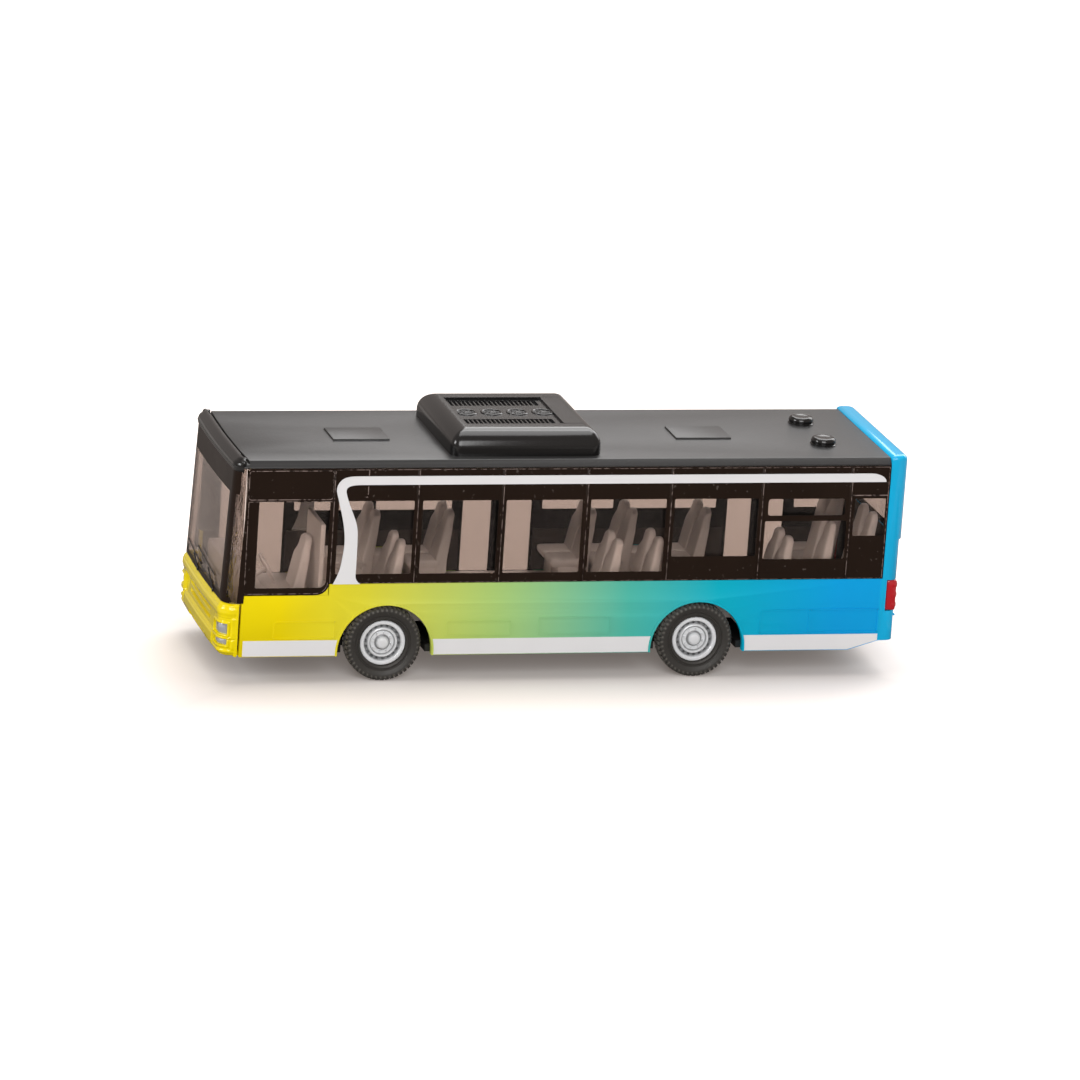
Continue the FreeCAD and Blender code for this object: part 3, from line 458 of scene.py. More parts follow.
@dataclass(frozen=True)
class WheelFinish(Finish):
    """A finish that changes with the distance from an axle."""

    axle_x: float = 0.0

    def polar(self, desk: Desk) -> tuple[SOCKET, SOCKET, SOCKET]:
        """Give a point's offsets from the axle, along and upwards, and its distance."""
        spot = desk.spot()
        across = desk.maths("SUBTRACT", spot[0], self.axle_x)
        up = desk.maths("SUBTRACT", spot[2], LINES.axle_z * MM)
        return across, up, desk.maths("SQRT", desk.maths("ADD", desk.times(across, across), desk.times(up, up)))


@dataclass(frozen=True)
class WheelSilver(WheelFinish):
    """Silver hub plastic, with painted shade in the dished rings."""

    # The painted shade's colour and strength, and the rings about the axle where it lies, in metres.
    painted_shade_colour: str = "4A4B4D"
    depth: float = 0.75
    hollows: Pairs = ((0.00088, 0.00112), (0.00164, 0.00178), (0.00213, 0.00256))
    soft: float = 0.00006

    def colour_of(self, desk: Desk, effects: Effects) -> SOCKET:
        """Give silver with rings of painted shade about the axle."""
        away = self.polar(desk)[2]
        dark = 0.0
        for low, high in self.hollows:
            rise = desk.span(away, low - self.soft, low + self.soft)
            fall = desk.span(away, high - self.soft, high + self.soft, 1.0, 0.0)
            dark = desk.maths("MAXIMUM", dark, desk.times(rise, fall))
        return desk.blend(desk.times(dark, self.depth), linear(self.colour), linear(self.painted_shade_colour))


@dataclass(frozen=True)
class TyreRubber(WheelFinish):
    """Black rubber, paler with a painted highlight on the shoulder lugs and towards the tread."""

    lug_highlight_colour: str = "8C8882"
    lugs: int = 46
    lug_highlight: float = 0.38
    lug_part: Pair = (0.5, 0.62)
    lugs_from: Pair = (0.0046, 0.0048)
    tread_from: Pair = (0.00512, 0.00532)

    def colour_of(self, desk: Desk, effects: Effects) -> SOCKET:
        """Give rubber with a painted highlight on the lugs and towards the tread."""
        across, up, away = self.polar(desk)
        turn = desk.times(desk.maths("ARCTAN2", up, across), self.lugs / math.tau)
        tick = desk.span(desk.maths("FRACT", turn), *self.lug_part)
        # Painted highlight: the lug tips and the tread's edge are paler in the colour.
        pale = desk.times(desk.times(tick, desk.span(away, *self.lugs_from)), self.lug_highlight)
        pale = desk.maths("MAXIMUM", pale, desk.span(away, *self.tread_from))
        return desk.blend(pale, linear(self.colour), linear(self.lug_highlight_colour))


@dataclass(frozen=True)
class ClearPlastic(Finish):
    """Smoked clear plastic."""

    straight: str = "F6F3F1"
    bend: float = 1.3

    def more(self, desk: Desk, shader: bpy.types.Node) -> None:
        """Let light through, and let lamp light pass straight."""
        shader.inputs["Transmission Weight"].default_value = 1.0
        shader.inputs["IOR"].default_value = self.bend
        straight = desk.add("BsdfTransparent")
        straight.inputs["Color"].default_value = linear(self.straight)
        shadow = desk.add("LightPath").outputs["Is Shadow Ray"]
        desk.surface("MixShader", shader.outputs[0], straight.outputs[0], shadow)


@dataclass(frozen=True)
class ScreenPlastic(ClearPlastic):
    """The windscreen's clear plastic, with flow marks in its rounded corners."""

    marks_from: Pair = (0.0119, 0.0128)
    marks_scale: float = 1300.0
    marks_depth: float = 0.0003

    def more(self, desk: Desk, shader: bpy.types.Node) -> None:
        """Add the flow marks to what all clear plastic has."""
        super().more(desk, shader)
        side = desk.span(desk.maths("ABSOLUTE", desk.spot()[1]), *self.marks_from)
        marks = desk.noise(self.marks_scale, 4.0, (1.0, 1.0, 0.3))
        desk.put(shader.inputs["Normal"], desk.bump(desk.times(marks, side), self.marks_depth))


@dataclass(frozen=True)
class PhotoCamera:
    """The camera at the photograph's angle."""

    azimuth: float = 164.5
    elevation: float = 16.0
    roll: float = 3.9
    distance: float = 0.93
    lens: float = 222.0
    sensor: float = 36.0
    target: Triple = (0.0, 0.0, 0.0164)
    offset: Pair = (0.0001, 0.00015)

    def place(self) -> None:
        """Put the camera in the scene and make it the scene's own."""
        around, rise, roll = (math.radians(v) for v in (self.azimuth, self.elevation, self.roll))
        back = Vector((math.sin(around) * math.cos(rise), -math.cos(around) * math.cos(rise), math.sin(rise)))
        level = Vector((math.cos(around), math.sin(around), 0))
        upright = back.cross(level)
        right = level * math.cos(roll) + upright * math.sin(roll)
        up = upright * math.cos(roll) - level * math.sin(roll)
        aim = Vector(self.target) - right * self.offset[0] - up * self.offset[1]
        data = bpy.data.cameras.new("photo_camera")
        data.lens, data.sensor_width = self.lens, self.sensor
        data.clip_start, data.clip_end = 0.01, 20.0
        camera = bpy.data.objects.new("photo_camera", data)
        turn = Matrix((right, up, back)).transposed().to_4x4()
        camera.matrix_world = Matrix.Translation(aim + back * self.distance) @ turn
        bpy.context.collection.objects.link(camera)
        bpy.context.scene.camera = camera


@dataclass(frozen=True)
class Lamp:
    """One soft square lamp that looks at the bus."""

    name: str
    place: Triple
    size: float
    power: float
    aim: Triple = (0, 0, 0.015)

    def hang(self) -> None:
        """Hang the lamp."""
        data = bpy.data.lights.new(self.name, "AREA")
        data.shape, data.size, data.energy = "SQUARE", self.size, self.power
        lamp = bpy.data.objects.new(self.name, data)
        lamp.location = self.place
        lamp.rotation_euler = (Vector(self.aim) - Vector(self.place)).to_track_quat("-Z", "Y").to_euler()
        bpy.context.collection.objects.link(lamp)


@dataclass
class Studio:
    """The pale floor, the white surroundings and the lamps."""

    floor_half: float = 3.0
    mirrored: float = 0.2
    glow_outside: Pair = (0.044, 0.012)
    glow_reach: float = 0.02
    glow_strength: Pair = (0.14, 0.6)
    pale_mirror_from: Pair = (0.072, 0.095)
    lamps: tuple[Lamp, ...] = (
        Lamp("lamp_key", (-0.05, -0.12, 0.5), 0.4, 1.7),
        Lamp("lamp_fill", (0.1, 0.62, 0.36), 0.4, 3.1),
        Lamp("lamp_front", (0.6, 0.1, 0.32), 0.22, 1.6),
        Lamp("lamp_rear", (-0.5, -0.3, 0.3), 0.35, 1.0),
        Lamp("lamp_right", (-0.27, -0.46, 0.5), 0.52, 2.6),
    )

    def seen(self, desk: Desk) -> SOCKET:
        """Give 1 for camera and transmission rays, a part for glossy ones and 0 for the rest."""
        path = desk.add("LightPath").outputs
        clear = desk.maths("MAXIMUM", path["Is Camera Ray"], path["Is Transmission Ray"])
        return desk.maths("MAXIMUM", clear, desk.times(path["Is Glossy Ray"], self.mirrored))

    def floor_shade(self, desk: Desk, place: bpy.types.NodeOutputs) -> SOCKET:
        """Give the floor's colour, which is darker near the bus for rays that a glossy face mirrors.

        Args:
            desk: The floor material's tree.
            place: The three coordinates of a point.

        Returns:
            The colour.
        """
        shade = desk.blend(self.seen(desk), linear("BBB8B6"), linear("CBC9C8"))
        path = desk.add("LightPath").outputs
        glossy = desk.maths("SUBTRACT", path["Is Glossy Ray"], path["Is Transmission Ray"])
        beyond = desk.span(desk.maths("ABSOLUTE", place[0]), *self.pale_mirror_from)
        mirror = desk.blend(beyond, linear("4C4A49"), linear("9C9A98"))
        return desk.blend(desk.span(glossy, 0, 1), shade, mirror)

    def floor(self) -> None:
        """Lay the floor, which glows a little where the bus doesn't shade it."""
        mesh, form = bpy.data.meshes.new("floor"), bmesh.new()
        bmesh.ops.create_grid(form, x_segments=1, y_segments=1, size=self.floor_half)
        form.to_mesh(mesh)
        form.free()
        floor = bpy.data.objects.new("floor", mesh)
        bpy.context.collection.objects.link(floor)
        material = bpy.data.materials.new("studio_floor")
        material.use_nodes = True
        desk = Desk(material.node_tree)
        desk.tree.nodes.remove(desk.tree.nodes["Principled BSDF"])
        place = desk.spot()
        dull, glow = desk.add("BsdfDiffuse"), desk.add("Emission")
        desk.put(dull.inputs["Color"], self.floor_shade(desk, place))
        glow.inputs["Color"].default_value = (1.0, 0.86, 0.78, 1)
        past = [desk.maths("SUBTRACT", desk.maths("ABSOLUTE", place[axis]), half)
                for axis, half in enumerate(self.glow_outside)]
        away = desk.span(desk.maths("MAXIMUM", *past), 0.0, self.glow_reach, *self.glow_strength)
        desk.put(glow.inputs["Strength"], desk.times(self.seen(desk), away))
        desk.surface("AddShader", dull.outputs[0], glow.outputs[0])
        mesh.materials.append(material)

    def air(self) -> None:
        """Set the white surroundings and the soft light they give."""
        world = bpy.data.worlds.new("studio_air")
        bpy.context.scene.world = world
        world.use_nodes = True
        desk = Desk(world.node_tree)
        ground, seen = desk.tree.nodes["Background"], self.seen(desk)
        desk.put(ground.inputs["Color"], desk.blend(seen, (1.0, 0.86, 0.79, 1), (1, 1, 1, 1)))
        desk.put(ground.inputs["Strength"], desk.span(seen, 0, 1, 0.3, 1.0))

    def build(self) -> None:
        """Set up the floor, the air and the lamps."""
        self.floor()
        self.air()
        for lamp in self.lamps:
            lamp.hang()


class Finishes:
    """All finishes of the toy, built once."""

    def __init__(self) -> None:
        """Build each material."""
        effects = Effects()
        self.paint = BodyPaint("body_paint", "FFFFFF", 0.3, coat=0.03, specular=0.14, drift=0.03,
                               grain_depth=0.000003).build(effects)
        self.clear = ClearPlastic("clear_window", "BFB5AF", 0.02, drift=0.02, grain_depth=0.0000006).build(effects)
        self.screen = ScreenPlastic("clear_windscreen", "B5A9A2", 0.03, drift=0.02).build(effects)
        self.print = Finish("black_window_print", "241A14", 0.3, specular=0.07, drift=0.2, dust=0.12).build(effects)
        self.roof = Finish("black_roof_plastic", "222222", 0.38, specular=0.42, drift=0.06, drift_scale=60.0,
                           dust=0.03, grain_depth=0.000014).build(effects)
        self.gloss_black = Finish("gloss_black_plastic", "111111", 0.17, specular=0.5, drift=0.1,
                                  grain_depth=0.000004).build(effects)
        self.white = Finish("white_print", "E0E1E3", 0.35, specular=0.2, drift=0.03,
                            grain_depth=0.000002).build(effects)
        # Pale lines on the ribs and the print's edges: partly rubbed print, partly a painted highlight where light
        # catches the raised edges.
        self.worn = RubbedPrint("worn_print_edge", "1A100C", 0.4, specular=0.2, bare="857670", cover=0.41,
                                rub_scale=2100.0).build(effects)
        self.silver = RubbedPrint("silver_lamp_print", "C4C8CE", 0.2, metallic=0.55).build(effects)
        self.red = RubbedPrint("red_lamp_print", "B30718", 0.1, coat=1.0, specular=0.4, bare="C82A38",
                               cover=0.68).build(effects)
        self.inside = Finish("grey_inside_plastic", "DED6D1", 0.3, drift=0.1).build(effects)
        # Painted shade: a dark colour for the sheets on the casting's inner walls, which stand in for the shade
        # there.
        self.lining = Finish("dark_inner_wall", "3B332F", 0.55, specular=0.2, dust=0.1).build(effects)
        self.chassis = Finish("black_chassis_plastic", "1B1B1B", 0.45, drift=0.2, dust=0.08).build(effects)
        self.rivet = Finish("bright_rivet", "C8C8C8", 0.25, metallic=1.0).build(effects)
        self.axle = Finish("axle_pin_steel", "C4C4C4", 0.28, metallic=1.0).build(effects)
        self.hubs = {end: WheelSilver(f"silver_hub_{end.value}", "E8EBEE", 0.28, metallic=0.1, drift=0.1,
                                      axle_x=LINES.axle_of(end) * MM).build(effects) for end in End}
        self.tyres = {end: TyreRubber(f"tyre_rubber_{end.value}", "3A3835", 0.45, specular=0.3, drift=0.18,
                                      dust=0.04, axle_x=LINES.axle_of(end) * MM).build(effects) for end in End}


def dress(material: bpy.types.Material, *nodes: str) -> None:
    """Give carried-over CAD nodes a material.

    Args:
        material: The material.
        *nodes: Names of the nodes.
    """
    for name in nodes:
        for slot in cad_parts[name].material_slots:
            slot.material = material


def smooth(value: float, low: float, high: float) -> float:
    """Rise softly from 0 to 1.

    Args:
        value: The value.
        low: Where the rise starts.
        high: Where it ends.

    Returns:
        A number from 0 to 1.
    """
    part = min(1.0, max(0.0, (value - low) / (high - low)))
    return part * part * (3 - 2 * part)


def between(value: float, low: float, high: float, soft: float) -> float:
    """Give 1 inside a range and 0 outside, with soft ends.

    Args:
        value: The value.
        low: Start of the range.
        high: End of the range.
        soft: Width of each soft end, which lies outside the range.

    Returns:
        A number from 0 to 1.
    """
    return smooth(value, low - soft, low) * (1 - smooth(value, high, high + soft))


def read_off(points: Pairs, value: float) -> float:
    """Read a value off a line of points.

    Args:
        points: Pairs in rising order.
        value: Where to read.

    Returns:
        The second number there.
    """
    if value <= points[0][0]:
        return points[0][1]
    for (a, va), (b, vb) in zip(points, points[1:]):
        if value <= b:
            return va + (vb - va) * smooth(value, a, b)
    return points[-1][1]


def rounded(low: Pair, high: Pair, radii: tuple[float, ...],
            steps: int = 5) -> list[Pair]:
    """Draw a rectangle with rounded corners.

    Args:
        low: Its lower left corner.
        high: Its upper right corner.
        radii: Corner radii, anticlockwise from the lower left one, or one for all.
        steps: Steps in each corner.

    Returns:
        The outline, anticlockwise.
    """
    radii = radii * 4 if len(radii) == 1 else radii
    corners = ((low[0], low[1], 1, 1), (high[0], low[1], -1, 1), (high[0], high[1], -1, -1), (low[0], high[1], 1, -1))
    points = []
    for index, ((a, b, right, up), radius) in enumerate(zip(corners, radii)):
        centre = (a + right * radius, b + up * radius)
        for step in range(steps + 1):
            angle = math.pi * (1 + index / 2) + math.pi / 2 * step / steps
            points.append((centre[0] + radius * math.cos(angle), centre[1] + radius * math.sin(angle)))
    return points


PANES_LEFT = (
    (1.7, 11.6, 13.7, 26.0), (12.8, 23.4, 15.6, 26.0), (24.6, 35.3, 15.6, 26.0), (36.4, 47.2, 15.6, 26.0),
    (48.4, 59.2, 15.6, 26.0), (60.4, 72.5, 17.7, 26.0), (73.6, 85.4, 17.2, 22.7), (73.9, 85.1, 23.5, 25.9),
    (86.4, 90.9, 20.5, 25.9))
PANES_RIGHT = (
    (2.7, 6.5, 8.0, 26.0), (7.5, 11.3, 8.0, 26.0), (12.8, 23.4, 17.0, 26.0), (24.6, 35.6, 17.0, 26.0),
    (37.2, 41.3, 8.0, 26.0), (43.1, 47.2, 8.0, 26.0), (48.8, 59.2, 17.0, 26.0), (60.4, 74.4, 17.0, 26.0),
    (76.1, 79.6, 8.0, 26.0), (80.8, 84.4, 8.0, 26.0), (86.0, 90.9, 17.0, 26.0))
DOORS_RIGHT = ((2.0, 12.0), (36.5, 47.9), (75.3, 85.1))


class Form:
    """A piece in the making, in millimetres, with the shaping steps that the toy's pieces share."""

    def __init__(self, name: str) -> None:
        """Start an empty form with the piece's name."""
        self.name = name
        self.mesh = bmesh.new()

    def box(self, low: Triple, high: Triple, bevel: float = 0.0, segments: int = 2) -> None:
        """Add a box.

        Args:
            low: Its lowest corner.
            high: Its highest corner.
            bevel: Size of the bevel on all its edges.
            segments: Steps of the bevel.
        """
        a, b = Vector(low), Vector(high)
        turn = Matrix.Translation((a + b) / 2) @ Matrix.Diagonal((*(b - a), 1))
        verts = bmesh.ops.create_cube(self.mesh, size=1.0, matrix=turn)["verts"]
        if bevel:
            self.soften({e for v in verts for e in v.link_edges}, bevel, segments)

    def soften(self, edges: object, width: float, segments: int = 2) -> None:
        """Bevel some edges.

        Args:
            edges: The edges.
            width: The bevel's width.
            segments: Its steps.
        """
        bmesh.ops.bevel(self.mesh, geom=list(edges), offset=width, offset_type="OFFSET", segments=segments,
                        profile=0.5, affect="EDGES", material=-1, clamp_overlap=True)

    def rod(self, start: Triple, end: Triple, radius: float, tip: float, sides: int) -> None:
        """Add a round rod or a cone with flat ends.

        Args:
            start: Centre of its first end.
            end: Centre of its other end.
            radius: Radius at the first end.
            tip: Radius at the other end.
            sides: Its sides.
        """
        a, b = Vector(start), Vector(end)
        turn = (b - a).to_track_quat("Z", "Y").to_matrix().to_4x4()
        bmesh.ops.create_cone(self.mesh, cap_ends=True, cap_tris=False, segments=sides, radius1=radius, radius2=tip,
                              depth=(b - a).length, matrix=Matrix.Translation((a + b) / 2) @ turn)

    def shell(self, columns: int, rows: int, place: Rule, thickness: float, ahead: bool = False) -> None:
        """Add a grid, lay it by a rule and give it a thickness.

        Args:
            columns: Its faces along the first way.
            rows: Its faces along the second way.
            place: Gives the point for two numbers from 0 to 1.
            thickness: Its thickness.
            ahead: Whether its faces are first turned to the front.
        """
        made = bmesh.ops.create_grid(self.mesh, x_segments=columns, y_segments=rows, size=0.5)["verts"]
        for vert in made:
            vert.co = place(vert.co.x + 0.5, vert.co.y + 0.5)
        faces = list({f for v in made for f in v.link_faces})
        bmesh.ops.recalc_face_normals(self.mesh, faces=faces)
        if ahead and sum(f.normal.x for f in faces) < 0:
            bmesh.ops.reverse_faces(self.mesh, faces=faces)
        bmesh.ops.solidify(self.mesh, geom=faces, thickness=thickness)

    def loop(self, points: list) -> tuple[list, list]:
        """Add a closed line of points, and give its vertices and its edges."""
        verts = [self.mesh.verts.new(p) for p in points]
        return verts, [self.mesh.edges.new(pair) for pair in zip(verts, verts[1:] + verts[:1])]

    def face(self, outline: list, place: Rule, depth: float) -> bmesh.types.BMFace:
        """Add a flat face with the given outline, laid by a rule at a depth."""
        edges = self.loop([place(a, b, depth) for a, b in outline])[1]
        return bmesh.ops.edgeloop_fill(self.mesh, edges=edges)["faces"][0]

    def grow(self, faces: list, move: Vector) -> None:
        """Extrude faces into a closed solid.

        Args:
            faces: The faces.
            move: How far they go.
        """
        grown = bmesh.ops.extrude_face_region(self.mesh, geom=faces, use_keep_orig=True)["geom"]
        far = [g for g in grown if isinstance(g, bmesh.types.BMVert)]
        bmesh.ops.translate(self.mesh, vec=move, verts=far)
        linked = {f for v in far for f in v.link_faces} | set(faces)
        bmesh.ops.recalc_face_normals(self.mesh, faces=list(linked))

    def plate(self, outline: list, place: Rule, low: float, high: float) -> None:
        """Add a plate with the given outline.

        Args:
            outline: Its corner points in order.
            place: Gives the point for an outline point's two numbers and a depth.
            low: Depth of its first face.
            high: Depth of its other face.
        """
        self.grow([self.face(outline, place, low)], place(0, 0, high) - place(0, 0, low))

    def ring(self, outline: list, place: Rule, low: float, high: float, width: float) -> None:
        """Add a flat ring along an outline.

        Args:
            outline: Its outer corner points in order.
            place: Gives the point for an outline point's two numbers and a depth.
            low: Depth of its first face.
            high: Depth of its other face.
            width: Its width.
        """
        face = self.face(outline, place, low)
        rim = bmesh.ops.inset_region(self.mesh, faces=[face], use_boundary=True, use_even_offset=True,
                                     thickness=width)["faces"]
        bmesh.ops.delete(self.mesh, geom=[face], context="FACES_ONLY")
        self.grow(rim, place(0, 0, high) - place(0, 0, low))

    def turned(self, profile: Pairs, centre: Triple, steps: int, closed: bool = False, axis: str = "Y") -> list:
        """Spin a profile about a line.

        Args:
            profile: Pairs of radius and place along the line, from the centre point, in order.
            centre: A point on the line.
            steps: Steps of the full turn.
            closed: Whether the profile is a ring.
            axis: The line's direction, Y or Z.

        Returns:
            The new faces.
        """
        old = set(self.mesh.faces)
        middle = Vector(centre)
        along = Vector((0, 1, 0)) if axis == "Y" else Vector((0, 0, 1))
        verts = [self.mesh.verts.new(middle + Vector((r, 0, 0)) + along * h) for r, h in profile]
        edges = [self.mesh.edges.new(pair) for pair in zip(verts, verts[1:])]
        if closed:
            edges.append(self.mesh.edges.new((verts[-1], verts[0])))
        bmesh.ops.spin(self.mesh, geom=verts + edges, cent=centre, axis=along, angle=math.tau, steps=steps,
                       use_merge=True)
        made = [v for v in self.mesh.verts if not any(f in old for f in v.link_faces)]
        bmesh.ops.remove_doubles(self.mesh, verts=made, dist=0.0005)
        faces = [f for f in self.mesh.faces if f not in old]
        bmesh.ops.recalc_face_normals(self.mesh, faces=faces)
        return faces

    def risen(self, loops: list) -> None:
        """Build a closed skin that rises loop by loop, each loop with as many points.

        Args:
            loops: Lists of points, from the lowest loop up.
        """
        old = set(self.mesh.faces)
        verts, edges = self.loop(loops[0])
        bmesh.ops.edgeloop_fill(self.mesh, edges=edges)
        for points in loops[1:]:
            number = {vert: index for index, vert in enumerate(verts)}
            grown = bmesh.ops.extrude_edge_only(self.mesh, edges=edges)["geom"]
            edges = [g for g in grown if isinstance(g, bmesh.types.BMEdge)]
            verts = [None] * len(points)
            for vert in (g for g in grown if isinstance(g, bmesh.types.BMVert)):
                below = next(e.other_vert(vert) for e in vert.link_edges if e.other_vert(vert) in number)
                verts[number[below]] = vert
            for vert, point in zip(verts, points):
                vert.co = point
        bmesh.ops.edgeloop_fill(self.mesh, edges=edges)
        bmesh.ops.recalc_face_normals(self.mesh, faces=[f for f in self.mesh.faces if f not in old])

    def ball(self, centre: Triple, size: Triple, sides: int = 20) -> None:
        """Add a ball stretched along the three axes.

        Args:
            centre: Its middle.
            size: Its three half sizes.
            sides: Faces around it.
        """
        bmesh.ops.create_uvsphere(self.mesh, u_segments=sides, v_segments=sides // 2, radius=1.0,
                                  matrix=Matrix.Translation(centre) @ Matrix.Diagonal((*size, 1)))

    def move(self, matrix: Matrix) -> None:
        """Turn and move the whole form."""
        bmesh.ops.transform(self.mesh, matrix=matrix, verts=self.mesh.verts[:])

    def from_node(self, node: str) -> None:
        """Add a merged copy of a CAD node's mesh, without the edges that lie in its flat faces."""
        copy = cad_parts[node].data.copy()
        copy.transform(Matrix.Scale(1 / MM, 4))
        self.mesh.from_mesh(copy)
        bpy.data.meshes.remove(copy)
        bmesh.ops.remove_doubles(self.mesh, verts=self.mesh.verts[:], dist=0.002)
        bmesh.ops.dissolve_limit(self.mesh, angle_limit=math.radians(0.7), use_dissolve_boundaries=False,
                                 verts=self.mesh.verts[:], edges=self.mesh.edges[:], delimit=set())

    def loose(self) -> bpy.types.Object:
        """Give the form as an object for a moment."""
        mesh = bpy.data.meshes.new("loose")
        self.mesh.to_mesh(mesh)
        thing = bpy.data.objects.new("loose", mesh)
        bpy.context.collection.objects.link(thing)
        return thing

    def carve(self, tool: "Form") -> None:
        """Cut another form out of this one, and let that form go.

        Args:
            tool: The other form.
        """
        ours, theirs = self.loose(), tool.loose()
        modifier = ours.modifiers.new("carve", "BOOLEAN")
        modifier.operation = "DIFFERENCE"
        modifier.object = theirs
        modifier.solver = "EXACT"
        shaped = bpy.data.meshes.new_from_object(ours.evaluated_get(bpy.context.evaluated_depsgraph_get()))
        self.mesh.clear()
        self.mesh.from_mesh(shaped)
        bpy.data.meshes.remove(shaped)
        for thing in (ours, theirs):
            mesh = thing.data
            bpy.data.objects.remove(thing)
            bpy.data.meshes.remove(mesh)
        tool.mesh.free()

    def done(self, material: bpy.types.Material, slot: str, body: str = "bus", replaces: tuple[str, ...] = (),
             bevel: float = 0.0, segments: int = 2, angle: float = 32.0) -> None:
        """Make the finished piece.

        Args:
            material: Its material.
            slot: The record's material slot; not used.
            body: The body that it rides on.
            replaces: CAD nodes that it stands for.
            bevel: Width of a bevel modifier in millimetres, none if 0.
            segments: Its steps.
            angle: Edges sharper than this stay sharp, in degrees.
        """
        mesh = bpy.data.meshes.new(self.name)
        bmesh.ops.scale(self.mesh, vec=(MM, MM, MM), verts=self.mesh.verts[:])
        self.mesh.to_mesh(mesh)
        self.mesh.free()
        mesh.materials.clear()
        mesh.materials.append(material)
        mesh.shade_smooth()
        piece = bpy.data.objects.new(self.name, mesh)
        bpy.context.collection.objects.link(piece)
        if bevel:
            modifier = piece.modifiers.new("edges", "BEVEL")
            modifier.width = bevel * MM
            modifier.segments = segments
            modifier.limit_method = "ANGLE"
            modifier.angle_limit = math.radians(angle)
            modifier.harden_normals = True
        else:
            mesh.set_sharp_from_angle(angle=math.radians(angle))
        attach(piece, body)
        if replaces:
            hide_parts(*replaces)
        LOG.info("%s: %d faces", self.name, len(mesh.polygons))


@dataclass(frozen=True)
class FrontCurve:
    """The bowed line of the front in plan, with its rounded corners."""

    face: float
    bow: float = 260.0
    corner: float = 2.0
    half: float = 13.5
    start: float = 45.6

    def lengths(self) -> Pane:
        """Give the bow's half angle and the lengths of half the bow, a corner and a side leg."""
        turn = math.asin((self.half - self.corner) / (self.bow - self.corner))
        centre = self.face - self.bow + (self.bow - self.corner) * math.cos(turn)
        return turn, self.bow * turn, self.corner * (math.pi / 2 - turn), centre - self.start

    def at(self, along: float, out: float = 0.0) -> Pair:
        """Give a point of the line.

        Args:
            along: Distance from the middle, positive to the left side.
            out: How far it lies outside the line.

        Returns:
            X and Y.
        """
        side = 1 if along >= 0 else -1
        left = abs(along)
        turn, bow, corner, _ = self.lengths()
        centre = (self.bow - self.corner) * math.cos(turn) + self.face - self.bow
        if left <= bow:
            angle = left / self.bow
            return (self.face - self.bow + (self.bow + out) * math.cos(angle),
                    side * (self.bow + out) * math.sin(angle))
        if left <= bow + corner:
            angle = turn + (left - bow) / self.corner
            return (centre + (self.corner + out) * math.cos(angle),
                    side * (self.half - self.corner + (self.corner + out) * math.sin(angle)))
        return centre - (left - bow - corner), side * (self.half + out)

    def reach(self) -> float:
        """Give the length from the middle to the end of a side leg."""
        return sum(self.lengths()[1:])


